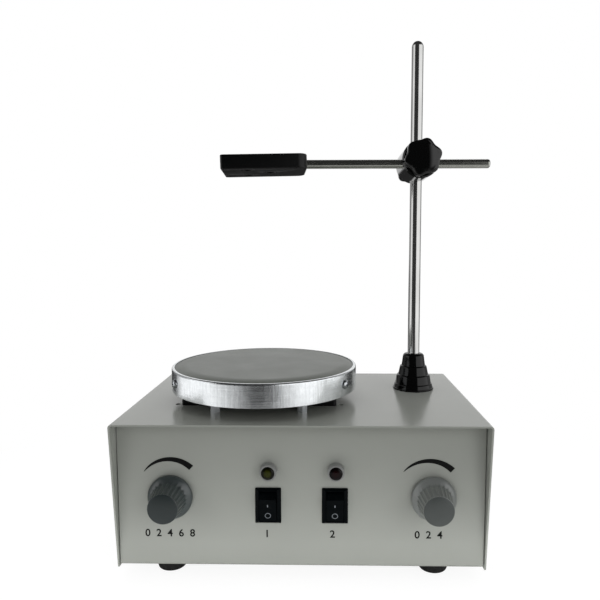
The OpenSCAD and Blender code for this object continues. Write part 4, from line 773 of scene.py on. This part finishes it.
def pale_floor():
    m = Nodes("pale_floor")
    tree = m.tree
    m.finish(m.mix(m.noise(30.0), (0.84, 0.84, 0.83), (0.87, 0.87, 0.86)), 0.6)
    away = m.add("ShaderNodeVectorMath", operation="LENGTH")
    m.link(m.coord, away.inputs[0])
    fade = step(tree, away.outputs["Value"], FADE_FROM, FADE_TO)
    glow = m.add("ShaderNodeEmission")
    m.link(total(tree, FLOOR_GLOW, product(tree, fade, 1 - FLOOR_GLOW)), glow.inputs["Strength"])
    faint = m.add("ShaderNodeBsdfDiffuse")
    m.link(m.ramp(fade, (0.0, FLOOR_SHADE), (1.0, 0.0)), faint.inputs["Color"])
    seen = m.add("ShaderNodeAddShader")
    m.link(glow.outputs[0], seen.inputs[0])
    m.link(faint.outputs[0], seen.inputs[1])
    either = m.add("ShaderNodeMixShader")
    m.link(m.add("ShaderNodeLightPath").outputs["Is Camera Ray"], either.inputs["Fac"])
    m.link(m.bsdf.outputs[0], either.inputs[1])
    m.link(seen.outputs[0], either.inputs[2])
    m.link(either.outputs[0], tree.nodes["Material Output"].inputs["Surface"])
    bpy.ops.mesh.primitive_circle_add(vertices=128, radius=FLOOR_R, fill_type="NGON",
                                      location=(0, 0, FLOOR_Z))
    floor = bpy.context.object
    floor.name = "floor"
    floor.data.materials.append(m.mat)


pale_floor()


# Room: tall windows to the front's left and right, a dark gap between them, a white backdrop

# Light of the room itself, the right window, the left window and the backdrop, for either kind of ray
SHINY = (0.045, 1.25, 1.15, 0.88)
DULL = (0.09, 0.68, 0.60, 0.50)
DULL_CEILING, DULL_REAR = 0.55, 0.22


def studio():
    """Azimuths are degrees from the front, positive to the right. Heights run from -1 to 1."""
    world = bpy.data.worlds.new("studio")
    scene.world = world
    world.use_nodes = True
    world.cycles.sampling_method = "NONE"
    tree = world.node_tree
    axes = tree.nodes.new("ShaderNodeSeparateXYZ")
    tree.links.new(tree.nodes.new("ShaderNodeTexCoord").outputs["Generated"], axes.inputs[0])
    side, deep, high = axes.outputs[0], axes.outputs[1], axes.outputs[2]
    around = product(tree, calc(tree, "ARCTAN2", side, product(tree, deep, -1.0)), 180 / math.pi)
    behind = calc(tree, "ABSOLUTE", around)
    low = step(tree, high, -0.12, -0.20)
    level = calc(tree, "SUBTRACT", 1.0, low)
    tall = product(tree, step(tree, high, 0.72, 0.42), step(tree, high, -0.75, -0.55))

    def window(near, far, tail, low_near, low_far):
        """Between a sharp near edge and a far edge that fades in two stages, and softer low down."""
        width = total(tree, product(tree, step(tree, around, *far), 0.7),
                      product(tree, step(tree, around, *tail), 0.3))
        upper = product(tree, level, step(tree, around, *near), width)
        lower = product(tree, low, step(tree, around, *low_near), step(tree, around, *low_far))
        return product(tree, tall, total(tree, upper, lower))

    right_window = window(near=(17, 25), far=(112, 92), tail=(150, 115), low_near=(4, 62), low_far=(126, 106))
    left_window = window(near=(-55, -62), far=(-104, -86), tail=(-150, -115), low_near=(-4, -60),
                         low_far=(-132, -112))
    backdrop = product(tree, step(tree, behind, 138, 152), step(tree, high, -0.06, 0.0),
                       step(tree, high, 0.75, 0.5))

    def light(room_light, *shares):
        lit = zip((right_window, left_window, backdrop), shares)
        return total(tree, room_light, *(product(tree, mask, share) for mask, share in lit))

    shiny = light(*SHINY)
    dull = total(tree, light(*DULL), product(tree, step(tree, high, 0.45, 0.95), DULL_CEILING),
                 product(tree, step(tree, behind, 95, 135), DULL_REAR))

    def background(strength):
        b = tree.nodes.new("ShaderNodeBackground")
        b.inputs["Color"].default_value = (1, 1, 1, 1)
        feed(tree, strength, b.inputs["Strength"])
        return b.outputs[0]

    path = tree.nodes.new("ShaderNodeLightPath")
    room = background(dull)
    for kind, strength in (("Is Glossy Ray", shiny), ("Is Camera Ray", 1.0)):
        mixer = tree.nodes.new("ShaderNodeMixShader")
        tree.links.new(path.outputs[kind], mixer.inputs["Fac"])
        tree.links.new(room, mixer.inputs[1])
        tree.links.new(background(strength), mixer.inputs[2])
        room = mixer.outputs[0]
    tree.links.new(room, tree.nodes["World Output"].inputs["Surface"])


def soft_box(name, place, aim, width, height, power):
    """A lamp that lights the surfaces but leaves the room's picture in the bright metal alone."""
    light = bpy.data.lights.new(name, "AREA")
    light.shape = "RECTANGLE"
    light.size, light.size_y = width, height
    light.energy = power
    lamp = bpy.data.objects.new(name, light)
    lamp.location = place
    lamp.rotation_euler = (Vector(aim) - Vector(place)).to_track_quat("-Z", "Y").to_euler()
    lamp.visible_glossy = False
    lamp.visible_camera = False
    scene.collection.objects.link(lamp)


studio()

# Lamps, in the row frame's metres: two from the front's sides and a faint strip along the table
BOX_AIM, BOX_SIZE, BOX_POWER = (0, 0, 0.06), 0.55, 1.9
soft_box("right_light", (0.75, -0.85, 0.45), BOX_AIM, BOX_SIZE, BOX_SIZE, BOX_POWER)
soft_box("left_light", (-0.85, -0.75, 0.40), BOX_AIM, BOX_SIZE, BOX_SIZE, BOX_POWER)
soft_box("table_light", (-0.01, -0.11, 0.006), (-0.01, -0.0587, 0.02), width=0.5, height=0.02, power=0.085)


# Camera, as solved from the housing's edges in the photograph

EYE = (14.653, -323.655, TOP + 97.985)
YAW, PITCH, ROLL = -0.020024, 0.088818, -0.00129
SENSOR, LENS, SHIFT = 36, 34.795, -0.0242


def photo_camera():
    cam = bpy.data.cameras.new("camera")
    cam.sensor_width = SENSOR
    cam.lens = LENS
    cam.shift_x = SHIFT
    cam.clip_start, cam.clip_end = 0.01, 20
    mount = bpy.data.objects.new("camera", cam)
    scene.collection.objects.link(mount)
    ahead = Vector((math.sin(YAW) * math.cos(PITCH), math.cos(YAW) * math.cos(PITCH), -math.sin(PITCH)))
    level = Vector((math.cos(YAW), -math.sin(YAW), 0))
    upright = level.cross(ahead)
    right = level * math.cos(ROLL) + upright * math.sin(ROLL)
    up = upright * math.cos(ROLL) - level * math.sin(ROLL)
    mount.matrix_world = Matrix.Translation(at(*EYE)) @ Matrix((right, up, -ahead)).transposed().to_4x4()
    scene.camera = mount


photo_camera()
scene.view_settings.view_transform = "Standard"
